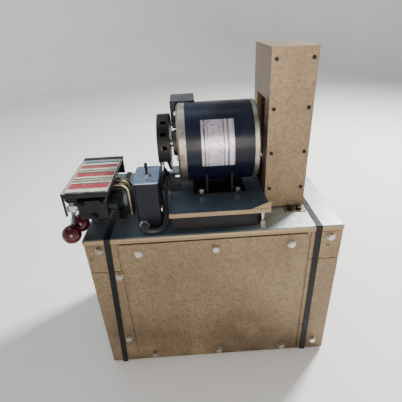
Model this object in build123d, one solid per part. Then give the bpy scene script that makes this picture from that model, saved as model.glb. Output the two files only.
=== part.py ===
from build123d import *
import math
import os

# Hydraulic power unit: a sheet-steel oil tank that carries a belt-driven gear pump,
# its electric motor, a two-lever valve bank and a motor switch.
# Millimetres. X runs along the front of the tank, Y towards its back, Z up.
# The origin is at the centre of the tank's footprint, on the floor.

# Tank
TANK_W = 508.0
TANK_D = 310.0
TANK_H = 360.0
SHEET = 2.5
PLATE = 3.0
SKIRT_GAP = 3.0
PAN_Z = 12.0
LIP_H = 12.0
LIP_OUT = 3.0
LIP_FIT = 0.5
COVER_X0 = -187.0
COVER_X1 = 185.0
COVER_Z0 = 16.0
COVER_Z1 = 346.0
COVER_BOLT_X = (-150.0, 2.0, 152.0)
COVER_BOLT_Z = (26.0, 325.0)
OPENING_X = 150.0
OPENING_Z0 = 60.0
OPENING_Z1 = 300.0
PANEL_INNER_X = 191.0
PANEL_SEAM_Z = 280.0
PANEL_T = 2.0
END_BOLTS = ((-226.0, 336.0), (-196.5, 269.0), (-204.5, 82.0), (230.0, 335.0), (226.0, 35.0))
END_HOLES = ((-245.0, 315.0), (227.0, 315.0), (198.0, 87.0))
BOLT_R = 4.0
BOLT_CLEAR = 0.2
RAIL_X = 150.0
RAIL_W = 40.0
RAIL_L = 280.0
RAIL_HOLE_Y = 110.0
RAIL_HOLE_R = 5.5
STRAP_W = 12.0
STRAP_T = 1.2
RIGHT_STRAP_X = 205.0
LEFT_STRAP_X = -207.0
LEFT_STRAP_FOOT_X = -225.0
DRAIN_Y = 60.0
DRAIN_Z = 34.0
BREATHER_X = 150.0
BREATHER_Y = 118.0

# Motor, on a plate above the deck
AXIS_Z = 491.0
MOTOR_R = 82.5
MOTOR_BORE_R = 79.5
SHELL_X0 = -44.0
SHIELD_X0 = -101
SHIELD_T = 2
SHIELD_Y = 42
SHROUD_X1 = -76
SHROUD_R = 62
SHROUD_DROP = 19
SHELL_X1 = 90.0
SHAFT_R = 8.0
RUN_FIT = 0.05
STATOR_X0 = -15.0
STATOR_X1 = 61.0
ROTOR_R = 44.6
STATOR_R = 45.2
PLATE_X0 = -84.0
PLATE_X1 = 111.0
PLATE_Y0 = -145.0
PLATE_Y1 = 90.0
PLATE_Z = 400.0
PLATE_LIP_T = 3
APRON_T = 1.4
PLATE_T = 4.0
FOOT_BOLT_X = (-18.0, 58.0)
FOOT_BOLT_Y = 62.0
FAN_R = 58.0
FAN_BLADES = 9
LEFT_BELL_X = -61.0
RIGHT_BELL_X = 101.0
BELL_SCREWS = 4
BELL_SCREW_R = 66.0
BELL_SCREW_TURN = 10.0

# Belt drive
GUARD_X0 = 113.0
GUARD_X1 = 196.0
GUARD_Y0 = -76.0
GUARD_Y1 = 70.0
GUARD_Z1 = 675.0
GUARD_T = 2.0
SLOT_Y0 = -40.0
SLOT_Y1 = 38.0
SLOT_Z1 = 583.0
GUARD_SCREW_X = (122.0, 187.0)
GUARD_SCREW_Z = (407.0, 484.0, 570.0, 656.0)
BELT_X = 152.0
SHEAVE_W = 20.0
MOTOR_SHEAVE_R = 50.0
PUMP_SHEAVE_R = 60.0
BELT_DEPTH = 4.0
WELL_X0 = 117.0
WELL_X1 = 191.0
WELL_Y = 69.0
WELL_Z0 = 80.0
WELL_T = 2.0
DECK_SLOT_Y = 64.0

# Gear pump, on the left wall of the belt well
PUMP_Z = 170.0
GEAR_TEETH = 12
GEAR_MODULE = 2.2
GEAR_GAP = 0.4
GEAR_CLEAR = 0.3
PUMP_X0 = 76.0
PUMP_X1 = 104.0
PUMP_REAR_X = 62.0
PUMP_BOLT_Y = 29.0
PORT_Z = PUMP_Z + 13.0

# Valve bank, on a bracket above the left end of the deck
SECTION_X0 = -246.0
SECTION_X1 = -194.0
SECTION_Z0 = 406.0
SECTION_Z1 = 444.0
SECTION_Y = (-154.0, -116.0, -78.0, -30.0)
LEVER_Y = (-135.0, -97.0)
SPOOL_Z = 424.0
SPOOL_R = 7.0
PIVOT_X = -264.0
PIVOT_Z = 444.0
KNOB_R = 18.0
KNOB_Z = 382.0
KNOB_X = (-266.0, -260.0)
KNOB_FORWARD = 29.0
HOOD_X0 = -273.0
HOOD_X1 = -187.0
HOOD_Y0 = -155.0
HOOD_Y1 = 24.0
HOOD_Z = 459.5
TIE_RODS = ((-240.0, 438.5), (-200.0, 438.5), (-220.0, 411.5))
PORT_X = (-234.0, -206.0)
WORK_PORT_R = 5.7
WORK_PORT_DEPTH = 9.0
TUBE_R = 6.0
TUBE_BORE_R = 4.5
TUBE_DOWN_X = -170.0
TUBE_Z = 430.0
PRESSURE_Y = -42.0
RETURN_Y = -64.0
RELIEF_X = -222.0
RELIEF_Z = 428.5

# Switch box and motor cable
BOX_X0 = -148.0
BOX_X1 = -100.0
BOX_Y0 = -125.0
BOX_Y1 = -47.0
BOX_Z1 = 457.0
TOGGLE_X = -123.0
TOGGLE_Y = -94.0
TOGGLE_Z = 463.0
CABLE_R = 4.5
CABLE_ROUTE = (
    (-72.0, -22.0, 424.0),
    (-92.0, -22.0, 424.0),
    (-92.5, -56.0, 409.0),
    (-92.0, -92.0, 388.0),
    (-93.0, -124.0, 369.0),
    (-104.0, -146.0, 365.4),
    (-136.0, -150.0, 369.5),
    (-136.0, -129.0, 369.5),
)


# Helpers

def block(x0, x1, y0, y1, z0, z1):
    """A box from its two corners."""
    return Pos((x0 + x1) / 2, (y0 + y1) / 2, (z0 + z1) / 2) * Box(x1 - x0, y1 - y0, z1 - z0)


def rod_x(x0, x1, y, z, radius):
    return Pos((x0 + x1) / 2, y, z) * Rot(0, 90, 0) * Cylinder(radius, x1 - x0)


def rod_y(y0, y1, x, z, radius):
    return Pos(x, (y0 + y1) / 2, z) * Rot(90, 0, 0) * Cylinder(radius, y1 - y0)


def rod_z(z0, z1, x, y, radius):
    return Pos(x, y, (z0 + z1) / 2) * Cylinder(radius, z1 - z0)


def rod_between(start, end, radius):
    """A round rod from one point to another."""
    path = Line(start, end)
    return sweep(Plane(origin=start, z_dir=Vector(*end) - Vector(*start)) * Circle(radius), path)


def hex_bar(length, across_flats):
    """A hexagonal bar along Z, centred on the origin."""
    outline = RegularPolygon(across_flats / 2, 6, major_radius=False)
    return Pos(0, 0, -length / 2) * extrude(outline, length)


def hex_x(x0, x1, y, z, across_flats):
    return Pos((x0 + x1) / 2, y, z) * Rot(0, 90, 0) * hex_bar(x1 - x0, across_flats)


def hex_y(y0, y1, x, z, across_flats):
    return Pos(x, (y0 + y1) / 2, z) * Rot(90, 0, 0) * hex_bar(y1 - y0, across_flats)


def hex_z(z0, z1, x, y, across_flats):
    return Pos(x, y, (z0 + z1) / 2) * hex_bar(z1 - z0, across_flats)


def turned_x(profile, y, z):
    """A turned piece about a line along X, from (x, radius) points."""
    face = make_face(Polyline(*[(x, r, 0) for x, r in profile], close=True))
    return Pos(0, y, z) * revolve(face, Axis.X)


def turned_z(profile, x, y):
    """A turned piece about a line along Z, from (radius, z) points."""
    face = make_face(Polyline(*[(r, 0, z) for r, z in profile], close=True))
    return Pos(x, y, 0) * revolve(face, Axis.Z)


def edges_along(shape, axis):
    return shape.edges().filter_by(axis)


def write(name, *solids):
    """Writes one node: a single solid, or a group of separate ones."""
    shape = solids[0] if len(solids) == 1 else Compound(children=list(solids))
    shape.label = name
    export_step(shape, "parts/" + name + ".step")


# Tank

def tank_shell():
    x = TANK_W / 2
    y = TANK_D / 2
    top = TANK_H - PLATE
    body = block(-x, x, -y, y, SKIRT_GAP, top)
    body = fillet(edges_along(body, Axis.Z), 5)
    body -= block(-x + SHEET, x - SHEET, -y + SHEET, y - SHEET, PAN_Z + PLATE, top + 1)
    body -= block(-x + SHEET, x - SHEET, -y + SHEET, y - SHEET, SKIRT_GAP - 1, PAN_Z)
    body -= block(-OPENING_X, OPENING_X, -y - 1, -y + SHEET + 1, OPENING_Z0, OPENING_Z1)
    for bolt_x, bolt_z in panel_bolt_places():
        body -= rod_y(-y - 1, -y + SHEET + 1, bolt_x, bolt_z, BOLT_R + BOLT_CLEAR)
    boss = rod_x(-x - 8, -x + 1, DRAIN_Y, DRAIN_Z, 14)
    body += boss
    return body - rod_x(-x - 9, -x + SHEET + 1, DRAIN_Y, DRAIN_Z, 10.1)


def tank_deck():
    x = TANK_W / 2 + LIP_OUT
    y = TANK_D / 2 + LIP_OUT
    inner_x = TANK_W / 2 + LIP_FIT
    inner_y = TANK_D / 2 + LIP_FIT
    lid = block(-x, x, -y, y, TANK_H - LIP_H, TANK_H)
    lid = fillet(edges_along(lid, Axis.Z), 8)
    lid = fillet(lid.faces().sort_by(Axis.Z)[-1].edges(), 6)
    hollow = block(-inner_x, inner_x, -inner_y, inner_y, TANK_H - LIP_H - 1, TANK_H - PLATE)
    lid -= fillet(edges_along(hollow, Axis.Z), 5.5)
    slot_x0 = WELL_X0 + 4
    slot_x1 = WELL_X1 - 4
    lid -= block(slot_x0, slot_x1, -DECK_SLOT_Y, DECK_SLOT_Y, TANK_H - PLATE - 1, TANK_H + 1)
    for tube_y in (PRESSURE_Y, RETURN_Y):
        lid -= rod_z(TANK_H - PLATE - 1, TANK_H + 1, TUBE_DOWN_X, tube_y, TUBE_R + 0.3)
    neck = rod_z(TANK_H - PLATE, TANK_H + 18, BREATHER_X, BREATHER_Y, 18)
    lid += neck
    return lid - rod_z(TANK_H - PLATE - 1, TANK_H + 19, BREATHER_X, BREATHER_Y, 15)


def panel_bolt_places():
    cover = [(x, z) for x in COVER_BOLT_X for z in COVER_BOLT_Z]
    return cover + list(END_BOLTS)


def end_panels():
    """Four overlay panels, two at each end of the tank's front."""
    front = -TANK_D / 2
    edge = TANK_W / 2 - 1
    panels = []
    for x0, x1 in ((-edge, -PANEL_INNER_X), (PANEL_INNER_X, edge)):
        for z0, z1 in ((5.0, PANEL_SEAM_Z - 1), (PANEL_SEAM_Z + 1, COVER_Z1)):
            panel = block(x0, x1, front - PANEL_T, front, z0, z1)
            for bolt_x, bolt_z in END_BOLTS:
                panel -= rod_y(front - 4, front + 1, bolt_x, bolt_z, BOLT_R + BOLT_CLEAR)
            for hole_x, hole_z in END_HOLES:
                panel -= rod_y(front - 4, front + 1, hole_x, hole_z, 3)
            panels.append(panel)
    return panels


def front_cover():
    front = -TANK_D / 2 - PANEL_T
    cover = block(COVER_X0, COVER_X1, front - PLATE, front, COVER_Z0, COVER_Z1)
    cover = fillet(edges_along(cover, Axis.Y), 3)
    for x in COVER_BOLT_X:
        for z in COVER_BOLT_Z:
            cover -= rod_y(front - 5, front + 1, x, z, BOLT_R + BOLT_CLEAR)
    return cover


def cover_gasket():
    front = -TANK_D / 2
    ring = block(COVER_X0 + 3, COVER_X1 - 3, front - PANEL_T, front, COVER_Z0 + 3, COVER_Z1 - 3)
    ring -= block(-OPENING_X, OPENING_X, front - 5, front + 1, OPENING_Z0, OPENING_Z1)
    for x in COVER_BOLT_X:
        for z in COVER_BOLT_Z:
            ring -= rod_y(front - 5, front + 1, x, z, BOLT_R + BOLT_CLEAR)
    return ring


def flange_bolt_y(face_y, x, z, grip):
    """A flanged hexagon bolt whose head sits in front of a face, pointing back."""
    head = hex_y(face_y - 6.5, face_y - 1.5, x, z, 12)
    flange = rod_y(face_y - 2, face_y, x, z, 8)
    return head + flange + rod_y(face_y, face_y + grip, x, z, BOLT_R)


def panel_bolts():
    front = -TANK_D / 2
    bolts = []
    for x in COVER_BOLT_X:
        for z in COVER_BOLT_Z:
            bolts.append(flange_bolt_y(front - PANEL_T - PLATE, x, z, 16))
    for x, z in END_BOLTS:
        bolts.append(flange_bolt_y(front - PANEL_T, x, z, 12))
    return bolts


def base_rails():
    rails = []
    for x in (-RAIL_X, RAIL_X):
        rail = block(x - RAIL_W / 2, x + RAIL_W / 2, -RAIL_L / 2, RAIL_L / 2, 0, PAN_Z)
        for y in (-RAIL_HOLE_Y, RAIL_HOLE_Y):
            rail -= rod_z(-1, PAN_Z + 1, x, y, RAIL_HOLE_R)
        rails.append(rail)
    return rails


def drain_plug():
    wall = -TANK_W / 2
    return hex_x(wall - 15, wall - 8, DRAIN_Y, DRAIN_Z, 22) + rod_x(wall - 8, wall + 6, DRAIN_Y, DRAIN_Z, 10)


def breather_cap():
    """A vented bayonet cap over the filler neck."""
    z0 = TANK_H + 6
    cap = turned_z(((18.4, z0), (24, z0), (24, z0 + 22), (21, z0 + 28), (0, z0 + 28),
                    (0, z0 + 14), (18.4, z0 + 14)), BREATHER_X, BREATHER_Y)
    for step in range(18):
        turn = math.radians(20 * step)
        x = BREATHER_X + 24.6 * math.cos(turn)
        y = BREATHER_Y + 24.6 * math.sin(turn)
        cap -= rod_z(z0 - 1, z0 + 23, x, y, 1.8)
    return cap


def strap_clip(x, y):
    top = TANK_H + STRAP_T
    return block(x - STRAP_W / 2 - 1.5, x + STRAP_W / 2 + 1.5, y - 16, y + 16, top, top + 1.4)


def right_strap():
    out_y = TANK_D / 2 + LIP_OUT + STRAP_T
    in_y = TANK_D / 2 + LIP_OUT
    x0 = RIGHT_STRAP_X - STRAP_W / 2
    x1 = RIGHT_STRAP_X + STRAP_W / 2
    low = SKIRT_GAP - 0.1
    loop = block(x0, x1, -out_y, out_y, low - STRAP_T, TANK_H + STRAP_T)
    loop = fillet(edges_along(loop, Axis.X), 3)
    hole = block(x0 - 1, x1 + 1, -in_y, in_y, low, TANK_H)
    return [loop - hole, strap_clip(RIGHT_STRAP_X, 95)]


def left_strap():
    """The left band's front run leans outwards towards the floor."""
    out_y = TANK_D / 2 + LIP_OUT + STRAP_T
    in_y = TANK_D / 2 + LIP_OUT
    low = SKIRT_GAP - 0.1
    half = STRAP_W / 2
    top = TANK_H + STRAP_T
    strap = block(LEFT_STRAP_X - half, LEFT_STRAP_X + half, -out_y, out_y, TANK_H, top)
    strap += block(LEFT_STRAP_X - half, LEFT_STRAP_X + half, in_y, out_y, low - STRAP_T, top)
    front_run = Polyline((LEFT_STRAP_X - half, -in_y, top), (LEFT_STRAP_X + half, -in_y, top),
                         (LEFT_STRAP_FOOT_X + half, -in_y, low - STRAP_T),
                         (LEFT_STRAP_FOOT_X - half, -in_y, low - STRAP_T), close=True)
    strap += extrude(make_face(front_run), STRAP_T, dir=(0, -1, 0))
    floor_run = Polyline((LEFT_STRAP_FOOT_X - half, -out_y, low), (LEFT_STRAP_FOOT_X + half, -out_y, low),
                         (LEFT_STRAP_X + half, out_y, low), (LEFT_STRAP_X - half, out_y, low), close=True)
    strap += extrude(make_face(floor_run), STRAP_T, dir=(0, 0, -1))
    return [strap, strap_clip(LEFT_STRAP_X, 95)]


def belt_well():
    """An oil-tight pocket under the deck, where the belt reaches the pump."""
    top = TANK_H - PLATE
    well = block(WELL_X0, WELL_X1, -WELL_Y, WELL_Y, WELL_Z0, top)
    well += block(WELL_X0 - 4, WELL_X1 + 4, -WELL_Y - 4, WELL_Y + 4, top - WELL_T, top)
    well -= block(WELL_X0 + WELL_T, WELL_X1 - WELL_T, -WELL_Y + WELL_T, WELL_Y - WELL_T,
                  WELL_Z0 + WELL_T, top + 1)
    return well - rod_x(WELL_X0 - 1, WELL_X0 + WELL_T + 1, 0, PUMP_Z, 18.2)


def baffle():
    y = TANK_D / 2 - SHEET - 2
    wall = block(-61, -59, -y, y, PAN_Z + PLATE, 250)
    for side in (-1, 1):
        wall -= block(-63, -57, side * y - 30, side * y + 30, 0, 45)
    return wall


# Motor

def motor_plate():
    plate = block(PLATE_X0, PLATE_X1, PLATE_Y0, PLATE_Y1, PLATE_Z - PLATE_T, PLATE_Z)
    lip_z = PLATE_Z - 9
    plate += block(PLATE_X0, PLATE_X1, PLATE_Y0, PLATE_Y0 + PLATE_LIP_T, lip_z, PLATE_Z)
    plate += block(PLATE_X0, PLATE_X0 + PLATE_LIP_T, PLATE_Y0, PLATE_Y1, lip_z, PLATE_Z)
    plate += block(PLATE_X1 - PLATE_LIP_T, PLATE_X1, PLATE_Y0, PLATE_Y1, lip_z, PLATE_Z)
    corner = Polyline((PLATE_X1 - 38, PLATE_Y0 + 1, PLATE_Z), (PLATE_X1, PLATE_Y0 + 1, PLATE_Z),
                      (PLATE_X1, PLATE_Y0 + 1, PLATE_Z + 15), close=True)
    plate += extrude(make_face(corner), 2.5, dir=(0, 1, 0))
    for x in FOOT_BOLT_X:
        for y in (-FOOT_BOLT_Y, FOOT_BOLT_Y):
            plate -= rod_z(PLATE_Z - 10, PLATE_Z + 1, x, y, 5)
    return plate


def plate_studs():
    """Four studs hold the plate; their nuts set the height, and so the belt tension."""
    pieces = []
    for x in (PLATE_X0 + 13, PLATE_X1 - 13):
        for y in (PLATE_Y0 + 14, PLATE_Y1 - 14):
            pieces.append(rod_z(TANK_H, PLATE_Z - PLATE_T, x, y, 5))
            for z in (TANK_H, PLATE_Z - PLATE_T - 8):
                nut = hex_z(z, z + 8, x, y, 16)
                pieces.append(nut - rod_z(z - 1, z + 9, x, y, 5.02))
    return pieces


def motor_shell():
    tube = rod_x(SHELL_X0, SHELL_X1, 0, AXIS_Z, MOTOR_R)
    return tube - rod_x(SHELL_X0 - 1, SHELL_X1 + 1, 0, AXIS_Z, MOTOR_BORE_R)


def stator_core():
    core = rod_x(STATOR_X0, STATOR_X1, 0, AXIS_Z, MOTOR_BORE_R - 0.1)
    core -= rod_x(STATOR_X0 - 1, STATOR_X1 + 1, 0, AXIS_Z, STATOR_R)
    for step in range(24):
        slot = Pos((STATOR_X0 + STATOR_X1) / 2, 0, 54) * Box(STATOR_X1 - STATOR_X0 + 2, 4, 22)
        core -= Pos(0, 0, AXIS_Z) * Rot(15 * step, 0, 0) * slot
    return core


def motor_windings():
    coils = []
    for x0, x1 in ((STATOR_X0 - 20, STATOR_X0), (STATOR_X1, STATOR_X1 + 20)):
        coil = rod_x(x0, x1, 0, AXIS_Z, 71) - rod_x(x0 - 1, x1 + 1, 0, AXIS_Z, 50)
        coils.append(fillet(coil.edges(), 4))
    return coils


def rotor_core():
    core = rod_x(STATOR_X0, STATOR_X1, 0, AXIS_Z, ROTOR_R)
    core += rod_x(STATOR_X0 - 6, STATOR_X1 + 6, 0, AXIS_Z, ROTOR_R - 6)
    return core - rod_x(STATOR_X0 - 10, STATOR_X1 + 10, 0, AXIS_Z, SHAFT_R)


def motor_shaft():
    return chamfer(rod_x(-98, BELT_X + 18, 0, AXIS_Z, SHAFT_R).edges(), 1)


def bell_screw_places():
    places = []
    for step in range(BELL_SCREWS):
        turn = math.radians(BELL_SCREW_TURN + 360 / BELL_SCREWS * step)
        places.append((BELL_SCREW_R * math.cos(turn), AXIS_Z + BELL_SCREW_R * math.sin(turn)))
    return places


def end_bell(face_x, profile):
    """A turned bell with screw holes and a ring of air slots."""
    bell = turned_x(profile, 0, AXIS_Z)
    for y, z in bell_screw_places():
        bell -= rod_x(face_x - 9, face_x + 9, y, z, 2.7)
    for step in range(6):
        slot = Pos(face_x, 0, 46) * Box(20, 18, 14)
        bell -= Pos(0, 0, AXIS_Z) * Rot(60 * step, 0, 0) * slot
    return bell


def left_end_bell():
    profile = ((-72, 8.6), (-72, 26), (-61, 30), (-61, 78), (-57, MOTOR_R), (SHELL_X0, MOTOR_R),
               (SHELL_X0, 79.3), (-38, 79.3), (-38, 74), (-54, 74), (-54, 28), (-52, 28),
               (-52, 20.02), (-66, 20.02), (-66, 8.6))
    return end_bell(LEFT_BELL_X, profile)


def right_end_bell():
    profile = ((110, 8.6), (110, 24), (101, 28), (101, 79), (98, MOTOR_R), (SHELL_X1, MOTOR_R),
               (SHELL_X1, 79.3), (85, 79.3), (85, 74), (95, 74), (95, 28), (92, 28),
               (92, 20.02), (106, 20.02), (106, 8.6))
    return end_bell(RIGHT_BELL_X, profile)


def motor_bearings():
    rings = []
    for x0 in (-66, 94):
        ring = rod_x(x0, x0 + 12, 0, AXIS_Z, 20) - rod_x(x0 - 1, x0 + 13, 0, AXIS_Z, SHAFT_R + RUN_FIT)
        rings.append(ring)
    return rings


def motor_cradle():
    """The pressed foot, with two saddle webs under the shell, and the apron below the plate's lip."""
    x0 = FOOT_BOLT_X[0] - 16
    x1 = FOOT_BOLT_X[1] + 16
    foot = block(x0, x1, -76, 76, PLATE_Z, PLATE_Z + 4)
    for x in (x0 + 26, x1 - 30):
        foot += block(x, x + 4, -66, 66, PLATE_Z + 4, PLATE_Z + 48)
    foot -= rod_x(x0 - 1, x1 + 1, 0, AXIS_Z, MOTOR_R)
    for x in FOOT_BOLT_X:
        for y in (-FOOT_BOLT_Y, FOOT_BOLT_Y):
            foot -= rod_z(PLATE_Z - 1, PLATE_Z + 5, x, y, 5)
            foot -= rod_z(PLATE_Z + 4, PLATE_Z + 49, x, y, 9)
    apron_y = PLATE_Y0 + PLATE_LIP_T
    apron = block(PLATE_X0 + PLATE_LIP_T + 1, PLATE_X1 - 25, apron_y, apron_y + APRON_T,
                  TANK_H + 1.5, PLATE_Z - PLATE_T)
    return [foot, apron]


def motor_bolts():
    """Foot bolts with their nuts, and the screws that hold the end bells."""
    pieces = []
    for x in FOOT_BOLT_X:
        for y in (-FOOT_BOLT_Y, FOOT_BOLT_Y):
            head = hex_z(PLATE_Z + 4, PLATE_Z + 10, x, y, 14)
            pieces.append(head + rod_z(PLATE_Z - 16, PLATE_Z + 4, x, y, 4.8))
            nut = hex_z(PLATE_Z - 12, PLATE_Z - 4, x, y, 14)
            pieces.append(nut - rod_z(PLATE_Z - 13, PLATE_Z - 3, x, y, 4.85))
    for face_x, out in ((LEFT_BELL_X, -1), (RIGHT_BELL_X, 1)):
        for y, z in bell_screw_places():
            outer = face_x + out * 4
            inner = face_x - out * 12
            head = hex_x(min(face_x, outer), max(face_x, outer), y, z, 8)
            pieces.append(head + rod_x(min(face_x, inner), max(face_x, inner), y, z, 2.5))
    return pieces


def rating_plate():
    """A thin foil plate, rolled round the front of the shell."""
    ring = rod_x(-14, 50, 0, AXIS_Z, MOTOR_R + 0.6) - rod_x(-15, 51, 0, AXIS_Z, MOTOR_R)
    low = math.radians(-17.5)
    high = math.radians(47.5)
    reach = MOTOR_R * 2
    wedge = Polyline((-14, 0, AXIS_Z),
                     (-14, -reach * math.cos(low), AXIS_Z + reach * math.sin(low)),
                     (-14, -reach * math.cos(high), AXIS_Z + reach * math.sin(high)), close=True)
    return ring & extrude(make_face(wedge), 64, dir=(1, 0, 0))


def cooling_fan():
    """A back plate and a hub with radial blades that narrow towards the rim."""
    fan = rod_x(-80, -78, 0, AXIS_Z, FAN_R) + rod_x(-95, -78, 0, AXIS_Z, 20)
    blade = Polyline((-94, 0, 15), (-92, 0, 30), (-83, 0, FAN_R - 2), (-79, 0, FAN_R - 2),
                     (-79, 0, 15), close=True)
    vane = Pos(0, -1.2, 0) * extrude(make_face(blade), 2.4, dir=(0, 1, 0))
    for step in range(FAN_BLADES):
        fan += Pos(0, 0, AXIS_Z) * Rot(360 / FAN_BLADES * step, 0, 0) * vane
    return fan - rod_x(-100, -70, 0, AXIS_Z, SHAFT_R)


def fan_shield():
    """An upright plate with a slotted shroud over the fan, bent from its foot on the motor plate."""
    inner_x = SHIELD_X0 + SHIELD_T
    shroud = rod_x(SHIELD_X0, SHROUD_X1, 0, AXIS_Z, SHROUD_R)
    shroud -= rod_x(inner_x, SHROUD_X1 + 1, 0, AXIS_Z, SHROUD_R - SHIELD_T)
    shroud -= block(SHIELD_X0 - 1, SHROUD_X1 + 1, -SHROUD_R - 1, SHROUD_R + 1,
                    AXIS_Z - SHROUD_R - 1, AXIS_Z - SHROUD_DROP)
    for angle in (-80, -55, -30, 30, 55, 80):
        slot = Pos((inner_x + SHROUD_X1) / 2, 0, SHROUD_R) * Box(12, 8, 10)
        shroud -= Pos(0, 0, AXIS_Z) * Rot(angle, 0, 0) * slot
    plate = block(SHIELD_X0, inner_x, -SHIELD_Y, SHIELD_Y, PLATE_Z, AXIS_Z)
    for z in (428, 452):
        plate -= block(SHIELD_X0 - 1, inner_x + 1, -26, 26, z, z + 14)
    foot = block(SHIELD_X0, -60, -SHIELD_Y, SHIELD_Y, PLATE_Z, PLATE_Z + 2.5)
    rib = Polyline((SHIELD_X0 + 1, 33.5, PLATE_Z + 1), (SHIELD_X0 + 15, 33.5, PLATE_Z + 1),
                   (SHIELD_X0 + 1, 33.5, PLATE_Z + 25), close=True)
    return shroud + plate + foot + extrude(make_face(rib), SHIELD_T, dir=(0, 1, 0))


def terminal_box():
    """The junction box behind the shell's upper left, with its lid and screws."""
    box = block(-73, -22, 6, 86, 514, 576)
    box = fillet(edges_along(box, Axis.X), 4)
    box -= rod_x(-61.5, -20, 0, AXIS_Z, MOTOR_R + 0.1)
    box -= rod_x(-75, -61, 0, AXIS_Z, 36)
    box += rod_y(-2, 8, -67, 532, 5.5)
    return box + rod_y(3, 8, -67, 558, 3.2)


# Belt drive

def belt_guard():
    guard = block(GUARD_X0, GUARD_X1, GUARD_Y0 + GUARD_T, GUARD_Y1, TANK_H, GUARD_Z1)
    guard = fillet(edges_along(guard, Axis.Y).sort_by(Axis.Z)[-2:], 3)
    guard -= block(GUARD_X0 + GUARD_T, GUARD_X1 - GUARD_T, GUARD_Y0, GUARD_Y1 - GUARD_T,
                   TANK_H - 1, GUARD_Z1 - GUARD_T)
    flange_y = GUARD_Y0 + GUARD_T
    for x0, x1 in ((GUARD_X0 + 1, GUARD_X0 + 16), (GUARD_X1 - 16, GUARD_X1 - 1)):
        guard += block(x0, x1, flange_y, flange_y + GUARD_T, TANK_H, GUARD_Z1 - 1)
    guard -= block(GUARD_X0 - 1, GUARD_X0 + GUARD_T + 1, SLOT_Y0, SLOT_Y1, TANK_H - 1, SLOT_Z1)
    for y in (SLOT_Y0 - 1, SLOT_Y1):
        guard += block(GUARD_X0 + 1, GUARD_X0 + 9, y, y + 1, TANK_H, SLOT_Z1 + 1)
    guard += block(GUARD_X0 + 40, GUARD_X1, GUARD_Y0 - 24, GUARD_Y0 + GUARD_T + 1, TANK_H, TANK_H + GUARD_T)
    for x in GUARD_SCREW_X:
        for z in GUARD_SCREW_Z:
            guard -= rod_y(GUARD_Y0 - 1, GUARD_Y0 + 6, x, z, 2.2)
    for x in (GUARD_X0 + 52, GUARD_X1 - 12):
        guard -= rod_z(TANK_H - 1, TANK_H + 4, x, GUARD_Y0 - 14, 3.2)
    return guard


def guard_front():
    panel = block(GUARD_X0, GUARD_X1, GUARD_Y0, GUARD_Y0 + GUARD_T, TANK_H + GUARD_T + 1, GUARD_Z1)
    for x in GUARD_SCREW_X:
        for z in GUARD_SCREW_Z:
            panel -= rod_y(GUARD_Y0 - 1, GUARD_Y0 + 3, x, z, 2.2)
    return panel


def guard_screws():
    screws = []
    for x in GUARD_SCREW_X:
        for z in GUARD_SCREW_Z:
            head = rod_y(GUARD_Y0 - 2, GUARD_Y0, x, z, 3.6)
            head -= rod_y(GUARD_Y0 - 3, GUARD_Y0 - 1, x, z, 1.6)
            screws.append(head + rod_y(GUARD_Y0, GUARD_Y0 + 9, x, z, 2))
    for x in (GUARD_X0 + 52, GUARD_X1 - 12):
        y = GUARD_Y0 - 14
        z = TANK_H + GUARD_T
        screws.append(hex_z(z, z + 5, x, y, 11) + rod_z(TANK_H, z, x, y, 3))
    return screws


def sheave(radius, axis_z, hub_x1):
    """A V-belt sheave with a hub towards the right."""
    half = SHEAVE_W / 2
    x0 = BELT_X - half
    x1 = BELT_X + half
    root = radius - 11
    return turned_x(((x0, SHAFT_R), (x0, 20), (x0 + 6, 20), (x0 + 6, root - 6), (x0, root - 6),
                     (x0, radius), (BELT_X - 7.4, radius), (BELT_X - 4.2, root),
                     (BELT_X + 4.2, root), (BELT_X + 7.4, radius), (x1, radius),
                     (x1, root - 6), (x1 - 6, root - 6), (x1 - 6, 20), (hub_x1, 20),
                     (hub_x1, SHAFT_R)), 0, axis_z)


def drive_belt():
    """A V-belt in a closed loop round both sheaves."""
    top_r = MOTOR_SHEAVE_R - BELT_DEPTH
    low_r = PUMP_SHEAVE_R - BELT_DEPTH
    lean = math.asin((low_r - top_r) / (AXIS_Z - PUMP_Z))
    top_y = top_r * math.cos(lean)
    top_z = AXIS_Z + top_r * math.sin(lean)
    low_y = low_r * math.cos(lean)
    low_z = PUMP_Z + low_r * math.sin(lean)
    start = (BELT_X, low_y, low_z)
    rise = Line(start, (BELT_X, top_y, top_z))
    over = ThreePointArc((BELT_X, top_y, top_z), (BELT_X, 0, AXIS_Z + top_r), (BELT_X, -top_y, top_z))
    fall = Line((BELT_X, -top_y, top_z), (BELT_X, -low_y, low_z))
    under = ThreePointArc((BELT_X, -low_y, low_z), (BELT_X, 0, PUMP_Z - low_r), start)
    section = Plane(origin=start, x_dir=(1, 0, 0), z_dir=(0, top_y - low_y, top_z - low_z))
    outline = section * make_face(Polyline((-6.6, 4.5), (6.6, 4.5), (4.2, -5), (-4.2, -5), close=True))
    return sweep(outline, path=Wire([rise.edge(), over.edge(), fall.edge(), under.edge()]))


# Gear pump

def idler_z():
    return PUMP_Z + GEAR_TEETH * GEAR_MODULE + GEAR_GAP


def gear(turn):
    """A straight-flanked spur gear centred on X, its first tooth turned by an angle."""
    pitch_r = GEAR_TEETH * GEAR_MODULE / 2
    tip_r = pitch_r + 0.8 * GEAR_MODULE
    root_r = pitch_r - 1.15 * GEAR_MODULE
    points = []
    for tooth in range(GEAR_TEETH):
        middle = math.radians(turn + 360 / GEAR_TEETH * tooth)
        for radius, half_width in ((root_r, 1.9), (pitch_r, 1.35), (tip_r, 0.75),
                                   (tip_r, -0.75), (pitch_r, -1.35), (root_r, -1.9)):
            angle = middle - half_width / radius
            points.append((0, radius * math.cos(angle), radius * math.sin(angle)))
    width = PUMP_X1 - PUMP_X0 - 0.3
    blank = extrude(make_face(Polyline(*points, close=True)), width, dir=(1, 0, 0))
    return Pos(PUMP_X0 + 0.15, 0, 0) * blank


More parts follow.
